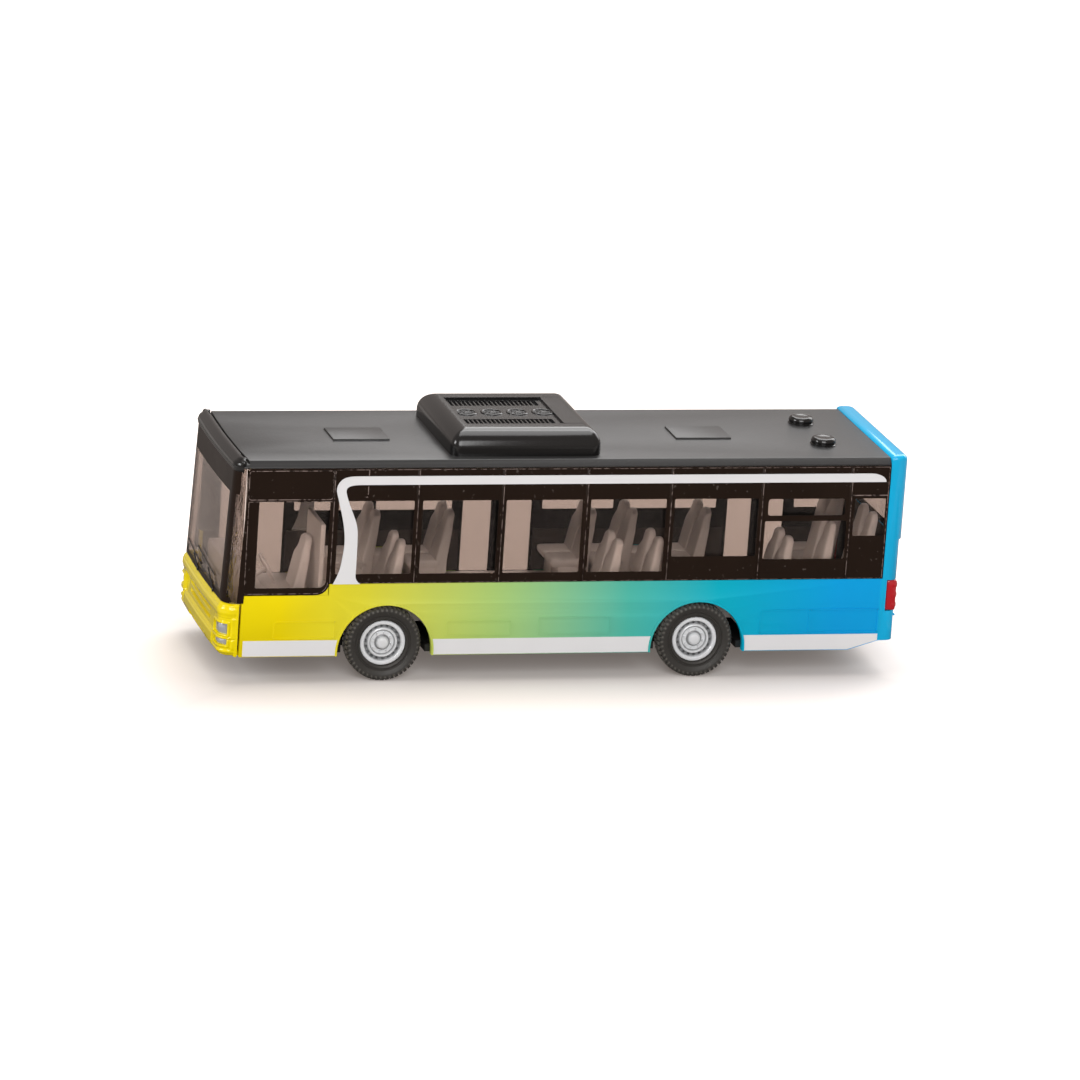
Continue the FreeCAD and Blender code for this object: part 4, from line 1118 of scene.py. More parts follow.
@dataclass
class Front:
    """The nose with its lamps, the windscreen with its printed bands, and the wipers."""

    finishes: Finishes
    nose_line: FrontCurve = FrontCurve(48.6)
    wall: float = 0.9
    glass_face: float = 48.1
    glass_wall: float = 0.8
    lens_depth: float = -0.42
    rake: float = math.tan(math.radians(2.4))
    low: float = 3.9
    top: float = 11.5
    lamps: Pairs = ((7.05, 8.5), (5.55, 6.3))
    lamp_sides: Pair = (10.4, 13.75)
    profile: Pairs = (
        (3.9, -0.95), (4.15, -0.5), (4.6, -0.12), (5.2, 0.0), (6.1, 0.0), (6.5, -0.14), (6.8, -0.42),
        (8.2, -0.5), (9.25, -0.46), (9.55, -0.14), (10.1, 0.0), (10.5, -0.02), (11.0, -0.18), (11.35, -0.45),
        (11.5, -0.75))
    zones: tuple[Pane, ...] = (
        (26.9, 30.3, -13.5, 13.5), (11.55, 12.35, -13.5, 13.5), (12.3, 27.0, 11.0, 12.9), (12.3, 27.0, -12.9, -11.0),
        (11.55, 30.3, 14.5, 15.4), (11.55, 30.3, -15.4, -14.5))
    wiper_paths: tuple[Pairs, ...] = (
        ((7.3, 11.75), (4.4, 13.9), (-3.3, 14.9), (7.9, 14.0)),
        ((-2.5, 11.85), (-5.0, 13.3), (-10.2, 13.9), (-0.6, 13.1)))

    def relief(self, side: float, z: float) -> float:
        """Give how far the nose's skin stands out of its line.

        Args:
            side: Distance along the front from the middle.
            z: Height.

        Returns:
            The distance, outwards positive.
        """
        out = read_off(self.profile, z)
        out += 0.44 * smooth(side, 9.35, 9.9) * between(z, 6.7, 9.2, 0.35)
        middle = 1 - smooth(side, 6.3, 6.6)
        for height in (7.62, 8.72):
            out -= 0.4 * middle * between(z, height - 0.16, height + 0.16, 0.14)
        out -= 0.4 * (1 - smooth(side, 5.0, 5.3)) * between(z, 4.45, 5.05, 0.14)
        for low, high in self.lamps:
            ring = between(side, self.lamp_sides[0] - 0.3, self.lamp_sides[1] + 0.3, 0.2)
            ring *= between(z, low - 0.22, high + 0.22, 0.16)
            pocket = between(side, self.lamp_sides[0], self.lamp_sides[1], 0.12) * between(z, low, high, 0.1)
            out += 0.2 * ring - 0.55 * pocket
        out -= 0.2 * between(side, 9.55, 14.25, 0.3) * between(z, 5.0, 9.2, 0.3)
        return out

    def screen_line(self, z: float) -> FrontCurve:
        """Give the windscreen's line at a height."""
        return FrontCurve(self.glass_face - (z - self.top) * self.rake)

    def glass(self, along: float, z: float, out: float = 0.0) -> Vector:
        """Give the point that stands so far off the windscreen."""
        return Vector((*self.screen_line(z).at(along, out), z))

    def nose(self) -> None:
        """Build the nose's skin as a bowed sheet with its relief, and give it its thickness."""
        form = Form("nose_mask")
        reach = self.nose_line.reach()

        def place(across: float, up: float) -> Vector:
            along = (across * 2 - 1) * reach
            z = self.low + (self.top - self.low) * up
            fade = 1 - 0.85 * smooth(abs(along), reach - 0.6, reach - 0.25)
            out = self.relief(abs(along), z) * fade
            return Vector((*self.nose_line.at(along, min(out, 0.0)), z))

        form.shell(300, 120, place, self.wall, ahead=True)
        form.done(self.finishes.paint, "painted_body", replaces=("nose",), angle=60)

    def windscreen(self) -> None:
        """Build the clear windscreen that wraps the front's corners."""
        form = Form("windscreen_moulding")

        def place(across: float, up: float) -> Vector:
            z = self.top + (LINES.glass_top - self.top) * up
            return self.glass((across * 2 - 1) * self.screen_line(z).reach(), z)

        form.shell(170, 24, place, self.glass_wall)
        form.done(self.finishes.screen, "clear_plastic", replaces=("windscreen",), angle=50)

    def bands(self) -> None:
        """Lay the printed black bands on the windscreen."""
        form = Form("windscreen_print")
        for low, high, start, end in self.zones:
            def place(across: float, up: float, zone: Pane = (low, high, start, end)) -> Vector:
                return self.glass(zone[2] + (zone[3] - zone[2]) * across, zone[0] + (zone[1] - zone[0]) * up, 0.03)
            form.shell(110 if end - start > 2 else 4, 12, place, 0.02)
        form.done(self.finishes.print, "black_print")

    def lenses(self) -> None:
        """Build the silver lenses in the nose's lamp pockets."""
        first, last = self.lamp_sides
        for side in Side:
            form = Form("headlamp_lenses_" + side.key)
            for low, high in self.lamps:
                def place(across: float, up: float, span: Pair = (low, high), way: int = side.value) -> Vector:
                    swell = 0.16 * math.sin(math.pi * across) * math.sin(math.pi * up) ** 0.5
                    flute = 0.015 * math.cos(across * math.pi * 18)
                    along = way * (first + (last - first) * across)
                    spot = self.nose_line.at(along, self.lens_depth + swell + flute)
                    return Vector((*spot, span[0] + (span[1] - span[0]) * up))
                form.shell(72, 12, place, 0.15, ahead=True)
            form.done(self.finishes.silver, "silver_print", replaces=("headlamp_" + side.key,), angle=50)

    def wipers(self) -> None:
        """Build the two wipers, parked low on the windscreen."""
        form = Form("wiper_arms")
        for pivot, elbow, first, last in self.wiper_paths:
            base, bend = self.glass(*pivot, 0.1), self.glass(*elbow, 0.2)
            form.ball(base, (0.14, 0.34, 0.34), 12)
            form.rod(base, bend, 0.15, 0.11, 8)
            spots = [self.glass(*(a + (b - a) * k / 6 for a, b in zip(first, last)), 0.12) for k in range(7)]
            for start, end in zip(spots, spots[1:]):
                form.rod(start, end, 0.11, 0.11, 8)
            form.ball(bend, (0.14, 0.2, 0.2), 10)
        form.done(self.finishes.gloss_black, "roof_plastic", replaces=("wipers",), angle=50)

    def build(self) -> None:
        """Build the front."""
        self.nose()
        self.windscreen()
        self.bands()
        self.lenses()
        self.wipers()


def eased(points: Pairs, steps: int = 4) -> list[Pair]:
    """Draw a smooth line through points.

    Args:
        points: The points in order.
        steps: Steps from one point to the next.

    Returns:
        The smooth line's points.
    """
    found = []
    for index in range(len(points) - 1):
        p0, p1, p2, p3 = (Vector(points[max(0, min(len(points) - 1, index + k))]) for k in (-1, 0, 1, 2))
        for step in range(steps):
            t = step / steps
            point = 0.5 * (2 * p1 + (p2 - p0) * t + (2 * p0 - 5 * p1 + 4 * p2 - p3) * t * t
                           + (3 * p1 - p0 - 3 * p2 + p3) * t * t * t)
            found.append((point.x, point.y))
    return found + [points[-1]]


@dataclass
class SideBand:
    """One side's clear window moulding with its black print, its ribs, its pale edge lines of rubbed print and
    painted highlight, and the white sweep.
    """

    finishes: Finishes
    side: Side
    panes: tuple[Pane, ...]
    doors: Pairs
    ribs: tuple[float, ...]
    corner: float = 0.3
    door_low: float = 6.45
    sweep_left: Pairs = (
        (12.56, 14.2), (13.0, 15.1), (13.44, 16.4), (13.73, 18.16), (13.87, 19.6), (13.84, 21.07), (13.58, 22.8),
        (13.07, 24.9), (12.63, 26.5), (12.38, 27.6), (12.63, 28.5), (13.29, 29.17), (14.17, 29.44), (15.19, 29.51))
    sweep_right: Pairs = (
        (15.5, 28.29), (14.6, 28.2), (13.95, 27.95), (13.73, 27.5), (13.87, 26.76), (14.39, 25.3), (15.19, 23.4),
        (15.55, 22.1), (15.67, 20.64), (15.7, 17.0), (15.7, 15.24), (15.99, 14.59), (16.43, 14.2))

    def at(self, along: float, z: float, depth: float) -> Vector:
        """Give the point that stands so far out of the side's face."""
        return Vector((LINES.x(along), self.side.value * (LINES.half + depth), z))

    def outline(self) -> list[Pair]:
        """Draw the moulding's outline, with the driver's window and the doors."""
        top, low, end = LINES.glass_top, LINES.belt + 0.05, LINES.edge - LINES.rear_line - 0.05
        points = [(0.05, top - 0.3), (0.35, top), (end, top), (end, low)]
        for start, stop in reversed(self.doors):
            points += [(stop, low), (stop, self.door_low), (start, self.door_low), (start, low)]
        if not self.doors:
            points += [(12.15, low)] + LINES.driver_corner() + [(0.05, 12.65)]
        else:
            points += [(0.05, low)]
        return points

    def moulding(self) -> None:
        """Build the clear moulding, flush with the flank."""
        form = Form("clear_windows_" + self.side.key)
        form.plate(self.outline(), self.at, -1.0, -0.03)
        form.done(self.finishes.clear, "clear_plastic", replaces=("side_glazing_" + self.side.key,))

    def print(self) -> None:
        """Build the black print with its rounded panes."""
        form = Form("window_print_band_" + self.side.key)
        form.plate(self.outline(), self.at, -0.03, 0.0)
        holes = Form("holes")
        for index, (start, stop, low, high) in enumerate(self.panes):
            small = high - low < 3.0
            big = 1.0 if index == 0 and not self.doors else 0.45 if small else 0.2
            radii = (0.2, big, 0.2, 0.2) if not small else (big,)
            holes.plate(rounded((start, low), (stop, high), radii), self.at, -0.3, 0.3)
        form.carve(holes)
        form.done(self.finishes.print, "black_print", replaces=("window_print_" + self.side.key,))

    def sweep(self) -> None:
        """Build the white sweep, which rises behind the front door post and runs along under the roof."""
        form = Form("white_sweep_" + self.side.key)
        tail = [(88.5 + 2.25 * math.sin(a), 28.29 + 1.22 * math.cos(a)) for a in
                (math.pi / 2 * k / 8 for k in range(9))]
        outline = eased(self.sweep_left) + tail + eased(self.sweep_right)
        form.plate(outline, self.at, -0.04, 0.085)
        form.done(self.finishes.white, "painted_body")

    def bar(self, form: Form, low: Pair, high: Pair, depth: float, bevel: float = 0.02) -> None:
        """Add a slim bar that stands on the side.

        Args:
            form: The form that takes it.
            low: Its lower front corner.
            high: Its upper rear corner.
            depth: How far it stands out.
            bevel: Its bevel.
        """
        a, b = self.at(low[0], low[1], -0.02), self.at(high[0], high[1], depth)
        form.box([min(p) for p in zip(a, b)], [max(p) for p in zip(a, b)], bevel, 1)

    def rib_bars(self) -> None:
        """Build the ribs between the panes and the pale lines along their edges and the strip's, which are partly
        rubbed print and partly painted highlight.
        """
        black, worn = Form("window_ribs_" + self.side.key), Form("worn_edges_" + self.side.key)
        top = LINES.glass_top - 0.2
        for rib in self.ribs:
            self.bar(black, (rib - 0.24, LINES.belt + 0.15), (rib + 0.2, top), 0.05, 0.03)
            # The pale line along each rib is partly a painted highlight.
            self.bar(worn, (rib + 0.02, LINES.belt + 0.2), (rib + 0.12, top - 0.1), 0.06)
        self.bar(worn, (12.3, top - 0.02), (91.2, top + 0.05), 0.03)
        self.bar(worn, (91.12, LINES.belt + 0.2), (91.2, top), 0.05)
        self.bar(worn, (85.9, 26.28), (91.1, 26.42), 0.06)
        spans = [0.3 if self.doors else 12.5] + [v for door in self.doors for v in door] + [91.1]
        for start, stop in zip(spans[::2], spans[1::2]):
            if stop - start > 2:
                self.bar(worn, (start + 0.1, LINES.belt + 0.12), (stop - 0.1, LINES.belt + 0.17), 0.03)
        for start, stop in self.doors:
            middle = (start + stop) / 2
            for left, right in ((start + 0.15, middle - 0.1), (middle + 0.1, stop - 0.15)):
                black.ring(rounded((left, self.door_low + 0.15), (right, 26.9), (0.3,)), self.at, -0.02, 0.06, 0.3)
            self.bar(worn, (middle - 0.06, self.door_low + 0.3), (middle + 0.06, 26.7), 0.03)
        if not self.doors:
            worn.ring(rounded((0.12, 26.2), (11.95, 30.35), (0.45,)), self.at, -0.02, 0.05, 0.1)
            worn.ring(rounded((0.2, 12.85), (11.9, 26.0), (0.3, 1.7, 0.2, 0.2)), self.at, -0.02, 0.04, 0.07)
            self.bar(worn, (16.75, 26.9), (16.87, top), 0.05)
            self.bar(worn, (16.3, 26.5), (16.8, 26.62), 0.04)
        black.done(self.finishes.print, "black_print", angle=50)
        worn.done(self.finishes.worn, "black_print", angle=50)

    def build(self) -> None:
        """Build the band."""
        self.moulding()
        self.print()
        self.sweep()
        self.rib_bars()


@dataclass
class Flanks:
    """The painted casting with the relief of its flanks and rear, and the pale stripe along the skirt."""

    finishes: Finishes
    arch_radius: float = 6.97
    arch_z: float = 4.4
    stripe: Pair = (3.98, 6.2)
    line_height: float = 0.075
    line_width: float = 0.2
    flaps: tuple[tuple[Pair, Pair, tuple[float, ...]], ...] = (
        ((4.6, 6.4), (13.3, 8.95), (0.1, 0.1, 0.1, 0.5)), ((73.9, 6.4), (81.2, 9.9), (0.1, 0.1, 0.1, 0.5)),
        ((81.2, 6.4), (91.2, 9.9), (0.1, 0.1, 0.1, 0.1)), ((29.0, 6.6), (38.2, 8.8), (0.2,)),
        ((42.0, 6.6), (52.4, 9.2), (0.2,)))
    # Spans along each side that the sheets of painted shade cover.
    wall_shade_spans: tuple[tuple[Side, Pairs], ...] = (
        (Side.LEFT, ((0.3, 91.3),)), (Side.RIGHT, ((0.3, 2.0), (11.55, 36.6), (47.45, 75.4), (84.6, 91.3))))

    def at(self, side: Side) -> Rule:
        """Give the rule that places a point on one side's face."""
        return lambda along, z, depth: Vector((LINES.x(along), side.value * (LINES.half + depth), z))

    def casting(self) -> None:
        """Build the casting from its node, with softened edges."""
        form = Form("body_shell")
        form.from_node("body_casting")
        under = [edge for edge in form.mesh.edges if all(v.co.z < 5.22 and v.co.x < -47.0 for v in edge.verts)
                 and len(edge.link_faces) == 2 and edge.calc_face_angle(0) > 1.2]
        form.soften(under, 0.6, 4)
        form.done(self.finishes.paint, "painted_body", replaces=("body_casting",), bevel=0.12, segments=2)

    def arch(self, axle: float, z: float, way: int) -> Pair:
        """Give a point on a wheel arch's rim.

        Args:
            axle: The axle's place behind the front edge.
            z: Height.
            way: 1 for the rear half of the arch, -1 for its front half.

        Returns:
            The point's place behind the front edge, and its height.
        """
        return axle + way * math.sqrt(self.arch_radius ** 2 - (z - self.arch_z) ** 2), z

    def stripes(self) -> None:
        """Build the pale stripe on both flanks, cut by the wheel arches and the front door."""
        form = Form("pale_skirt_stripe")
        low, high = self.stripe
        steps = [low + (high - low) * k / 6 for k in range(7)]
        first, second = LINES.edge - LINES.axle_front, LINES.edge - LINES.axle_rear
        rise = [self.arch(first, z, -1) for z in steps]
        middle = [self.arch(first, z, 1) for z in reversed(steps)] + [self.arch(second, z, -1) for z in steps]
        rear = [self.arch(second, z, 1) for z in reversed(steps)] + [(87.0, low), (91.25, 5.25), (91.25, high)]
        for side in Side:
            if side is Side.LEFT:
                front = [[(0.45, high), (0.45, low)] + rise]
            else:
                front = [[(0.45, high), (0.45, low), (1.95, low), (1.95, high)], [(12.05, high), (12.05, low)] + rise]
            for outline in front + [middle, rear]:
                form.plate(outline, self.at(side), -0.02, 0.04)
        form.done(self.finishes.white, "painted_body")

    def relief(self) -> None:
        """Build the fine raised lines of the flanks' flaps, clear of the doors."""
        form = Form("flank_lines")
        for side in Side:
            for low, high, radii in self.flaps:
                crossed = any(low[0] < stop + 0.5 and high[0] > start - 0.5 for start, stop in DOORS_RIGHT)
                if side is Side.LEFT or not crossed:
                    form.ring(rounded(low, high, radii), self.at(side), -0.02, self.line_height, self.line_width)
            if side is Side.LEFT:
                form.box((LINES.x(12.1), 13.28, 12.66), (LINES.x(12.0), 13.5, 14.24))
                form.plate([(12.1, 14.25)] + LINES.driver_corner() + [(12.1, 12.6)], self.at(side), -0.9, 0.0)
        form.done(self.finishes.paint, "painted_body", bevel=0.05, segments=2, angle=50)

    def lining(self) -> None:
        """Put dark sheets of painted shade on the flanks' and the rear wall's inner faces, clear of the doors."""
        form = Form("dark_wall_lining")
        arches = [(x - 7.25, x + 7.25) for x in (LINES.axle_rear, LINES.axle_front)]
        cuts = sorted({x for pair in arches for x in pair} | {33.3})
        for side, spans in self.wall_shade_spans:
            near, far = sorted((side.value * 12.41, side.value * 12.47))
            for start, stop in spans:
                marks = [LINES.x(stop)] + [x for x in cuts if LINES.x(stop) < x < LINES.x(start)] + [LINES.x(start)]
                for left, right in zip(marks, marks[1:]):
                    foot = 11.85 if any(low - 0.1 < left and right < high + 0.1 for low, high in arches) else 8.25
                    crest = 12.7 if side is Side.LEFT and left > 33.2 else 14.3
                    form.box((left, near, foot), (right, far, crest), 0.02, 1)
        form.box((-47.12, -12.25, 8.3), (-47.05, 12.25, 20.6), 0.02, 1)
        form.done(self.finishes.lining, "interior_plastic")

    def build(self) -> None:
        """Build the casting's pieces."""
        self.lining()
        self.casting()
        self.stripes()
        self.relief()


@dataclass
class RearEnd:
    """The rear wall's relief, the window's frame and the tail lamps."""

    finishes: Finishes
    lower: float = -48.35
    window: float = -48.4
    rings: tuple[tuple[Pair, Pair, float, float, float], ...] = (
        ((-10.4, 9.5), (10.4, 19.2), 0.5, 0.1, 0.22), ((2.0, 10.3), (9.6, 18.3), 0.3, 0.12, 0.18),
        ((-8.6, 11.2), (-1.6, 17.6), 0.4, 0.09, 0.16), ((-3.2, 6.0), (3.2, 8.1), 0.2, 0.14, 0.2),
        ((-9.2, 6.35), (-6.8, 7.55), 0.5, 0.1, 0.16), ((6.8, 6.35), (9.2, 7.55), 0.5, 0.1, 0.16))
    blocks: tuple[tuple[float, Pair, Pair, float, int], ...] = (
        (0.2, (-6.3, 16.2), (-3.9, 16.75), 0.1, 2), (0.05, (-2.95, 6.25), (2.95, 7.85), 0.04, 1),
        (0.12, (-13.0, 8.62), (13.0, 8.92), 0.08, 2))
    louvres: int = 9
    lenses: int = 3

    def cover(self) -> None:
        """Build the engine cover's seam, its louvres, the blank plate's holder and the bumper's crease."""
        form = Form("rear_cover_relief")
        for low, high, radius, depth, width in self.rings:
            form.ring(rounded(low, high, (radius,)), lambda y, z, out: Vector((self.lower - out, y, z)), -0.03, depth,
                      width)
        slats = tuple((0.16, (2.4, 10.9 + row * 0.8), (9.2, 10.9 + row * 0.8 + 0.42), 0.08, 2)
                      for row in range(self.louvres))
        for out, low, high, bevel, segments in self.blocks + slats:
            form.box((self.lower - out, *low), (self.lower + 0.05, *high), bevel, segments)
        form.done(self.finishes.paint, "painted_body", angle=40)

    def frame(self) -> None:
        """Build the printed frame on the rear window."""
        form = Form("rear_window_frame")
        form.ring(rounded((-9.93, 20.67), (9.93, 27.33), (0.6,)), lambda y, z, out: Vector((self.window - out, y, z)),
                  -0.02, 0.03, 0.55)
        form.done(self.finishes.print, "black_print")

    def lamps(self) -> None:
        """Build each tail lamp: a block with three round lenses, one above the other."""
        for side in Side:
            form = Form("tail_lamp_lenses_" + side.key)
            a, b = (Vector(corner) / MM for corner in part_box("tail_lamp_" + side.key))
            form.box(a, b, 0.3, 3)
            for row in range(self.lenses):
                z = a.z + (b.z - a.z) * (row + 0.5) / self.lenses
                form.ball((a.x + 0.12, (a.y + b.y) / 2, z), (0.4, 0.92, 0.66))
                form.ball(((a.x + b.x) / 2 - 0.25, side.value * 13.3, z), (0.5, 0.2, 0.6))
            form.done(self.finishes.red, "red_lamp", replaces=("tail_lamp_" + side.key,), angle=50)

    def build(self) -> None:
        """Build the rear end."""
        self.cover()
        self.frame()
        self.lamps()


@dataclass
class RoofUnit:
    """The air conditioner on the roof: a rounded hood with a sunk top, fins, fans and a smooth lid."""

    finishes: Finishes
    tail: float = -4.9
    nose: float = 16.5
    half: float = 11.2
    base: float = 31.6
    skirt: float = 0.9
    top: float = 35.05
    nose_run: float = 2.7
    tail_run: float = 1.9
    shoulder: float = 2.6
    corner: float = 1.5
    slot_y: float = 4.8
    slot_half: float = 1.3
    fin_count: int = 19
    fin_row: Pair = (1.15, 0.63)
    fan_count: int = 4
    fan_row: Pair = (1.0, 3.65)
    fan_rim: Pairs = ((1.2, -0.02), (1.25, 0.08), (1.35, 0.14), (1.48, 0.14), (1.58, 0.06), (1.6, -0.02))
    fan_hub: Pairs = ((0.0, 0.13), (0.28, 0.12), (0.36, 0.06), (0.38, -0.02), (0.0, -0.02))
    blades: int = 7

    def level(self, rise: float) -> list[Triple]:
        """Draw the hood's outline at one height.

        Args:
            rise: 0 at the top of the skirt, 1 at the flat top.

        Returns:
            The outline's points.
        """
        angle = math.pi / 2 * rise
        side = self.shoulder * (1 - math.cos(angle))
        slope = (1 - math.cos(angle * 0.78)) / (1 - math.cos(math.pi / 2 * 0.78))
        z = self.base + self.skirt + (self.top - self.base - self.skirt) * math.sin(angle)
        radius = self.corner * (1 - 0.75 * rise)
        outline = rounded((self.tail + self.tail_run * slope, -self.half + side),
                          (self.nose - self.nose_run * slope, self.half - side), (radius,), 6)
        return [(x, y, z) for x, y in outline]

    def hood(self) -> None:
        """Build the hood and cut its top."""
        form = Form("roof_unit_hood")
        foot = [(x, y, self.base) for x, y, _ in self.level(0)]
        form.risen([foot] + [self.level(k / 12) for k in range(13)])
        cuts = [((-0.35, -6.85, self.top - 0.3), (13.55, 6.85, self.top + 1))]
        for side in (-1, 1):
            low, high = side * self.slot_y - self.slot_half, side * self.slot_y + self.slot_half
            cuts.append(((0.55, low, self.top - 0.62), (13.2, high, self.top)))
            cuts.append(((-2.95, side * 6.85 - 0.06, self.top - 0.1), (-0.2, side * 6.85 + 0.06, self.top + 1)))
        for low, high in cuts:
            sunk = Form("sunk")
            sunk.box(low, high)
            form.carve(sunk)
        form.done(self.finishes.gloss_black, "roof_plastic", replaces=("roof_unit",), angle=38)

    def fins(self) -> None:
        """Build the two rows of fins."""
        form = Form("roof_unit_fins")
        for side in (-1, 1):
            low, high = side * self.slot_y - self.slot_half, side * self.slot_y + self.slot_half
            for fin in range(self.fin_count):
                x = self.fin_row[0] + fin * self.fin_row[1]
                form.box((x, low, self.top - 0.65), (x + 0.24, high, self.top - 0.34), 0.05, 1)
        form.done(self.finishes.gloss_black, "roof_plastic")

    def fans(self) -> None:
        """Build the four fans, each with a rim, a hub and curved blades."""
        form = Form("roof_unit_fans")
        floor = self.top - 0.3
        for fan in range(self.fan_count):
            x = self.fan_row[0] + self.fan_row[1] * fan
            form.turned(self.fan_rim, (x, 0, floor), 40, closed=True, axis="Z")
            form.turned(self.fan_hub, (x, 0, floor), 20, closed=True, axis="Z")
            for blade in range(self.blades):
                for step in range(3):
                    out = 0.45 + 0.28 * step
                    bend = math.tau * blade / self.blades + 0.32 * step
                    spot = (x + out * math.cos(bend), out * math.sin(bend), floor + 0.03)
                    form.ball(spot, (0.2, 0.13, 0.06), 8)
        form.done(self.finishes.gloss_black, "roof_plastic", replaces=("roof_fans",), angle=50)

    def build(self) -> None:
        """Build the unit."""
        self.hood()
        self.fins()
        self.fans()


@dataclass
class Roof:
    """The roof moulding, its two vents and the bar along its front edge."""

    finishes: Finishes
    vents: Pairs = ((-38.4, 5.5), (-38.4, -5.5))
    vent_base: float = 31.6
    vent_profile: Pairs = (
        (0.0, 0.93), (0.9, 0.95), (1.2, 1.0), (1.42, 0.97), (1.6, 0.85), (1.72, 0.62), (1.76, 0.4), (1.7, 0.22),
        (1.72, 0.12), (1.85, 0.06), (1.85, 0.0), (0.0, 0.0))
    bar_line: FrontCurve = FrontCurve(47.3)
    bar_profile: Pairs = (
        (-1.45, 31.3), (-1.45, 31.72), (-1.3, 31.86), (-1.0, 31.9), (-0.7, 31.84), (-0.42, 31.66), (-0.3, 31.5),
        (-0.1, 31.42), (0.07, 31.2), (0.16, 30.85), (0.18, 30.5), (0.12, 30.2), (0.02, 30.05), (-0.3, 30.05),
        (-0.4, 31.3))

    def panel(self) -> None:
        """Build the roof from its node, with softened edges."""
        form = Form("roof_moulding")
        form.from_node("roof_panel")
        form.done(self.finishes.roof, "roof_plastic", replaces=("roof_panel",), bevel=0.16, segments=3)

    def domes(self) -> None:
        """Build the vents as low turned domes."""
        form = Form("roof_vent_domes")
        for x, y in self.vents:
            form.turned(self.vent_profile, (x, y, self.vent_base), 48, closed=True, axis="Z")
        form.done(self.finishes.gloss_black, "roof_plastic", replaces=("roof_vents",), angle=40)

    def rim(self) -> None:
        """Build the rounded bar along the roof's front edge, with its two end knobs."""
        form = Form("roof_front_bar")
        reach = self.bar_line.reach() - 0.35
        loops = []
        for step in range(121):
            along = (step / 60 - 1) * reach
            loop = []
            for out, z in self.bar_profile:
                x, y = self.bar_line.at(along, max(out, -1.2) if abs(along) > 10 else out)
                loop.append(Vector((x, max(-13.6, min(13.6, y)), z)))
            loops.append(loop)
        form.risen(loops)
        for side in (-1, 1):
            form.ball((45.95, side * 12.95, 31.25), (0.42, 0.55, 0.6), 20)
        form.done(self.finishes.gloss_black, "roof_plastic", angle=40)

    def build(self) -> None:
        """Build the roof."""
        self.rim()
        self.panel()
        self.domes()


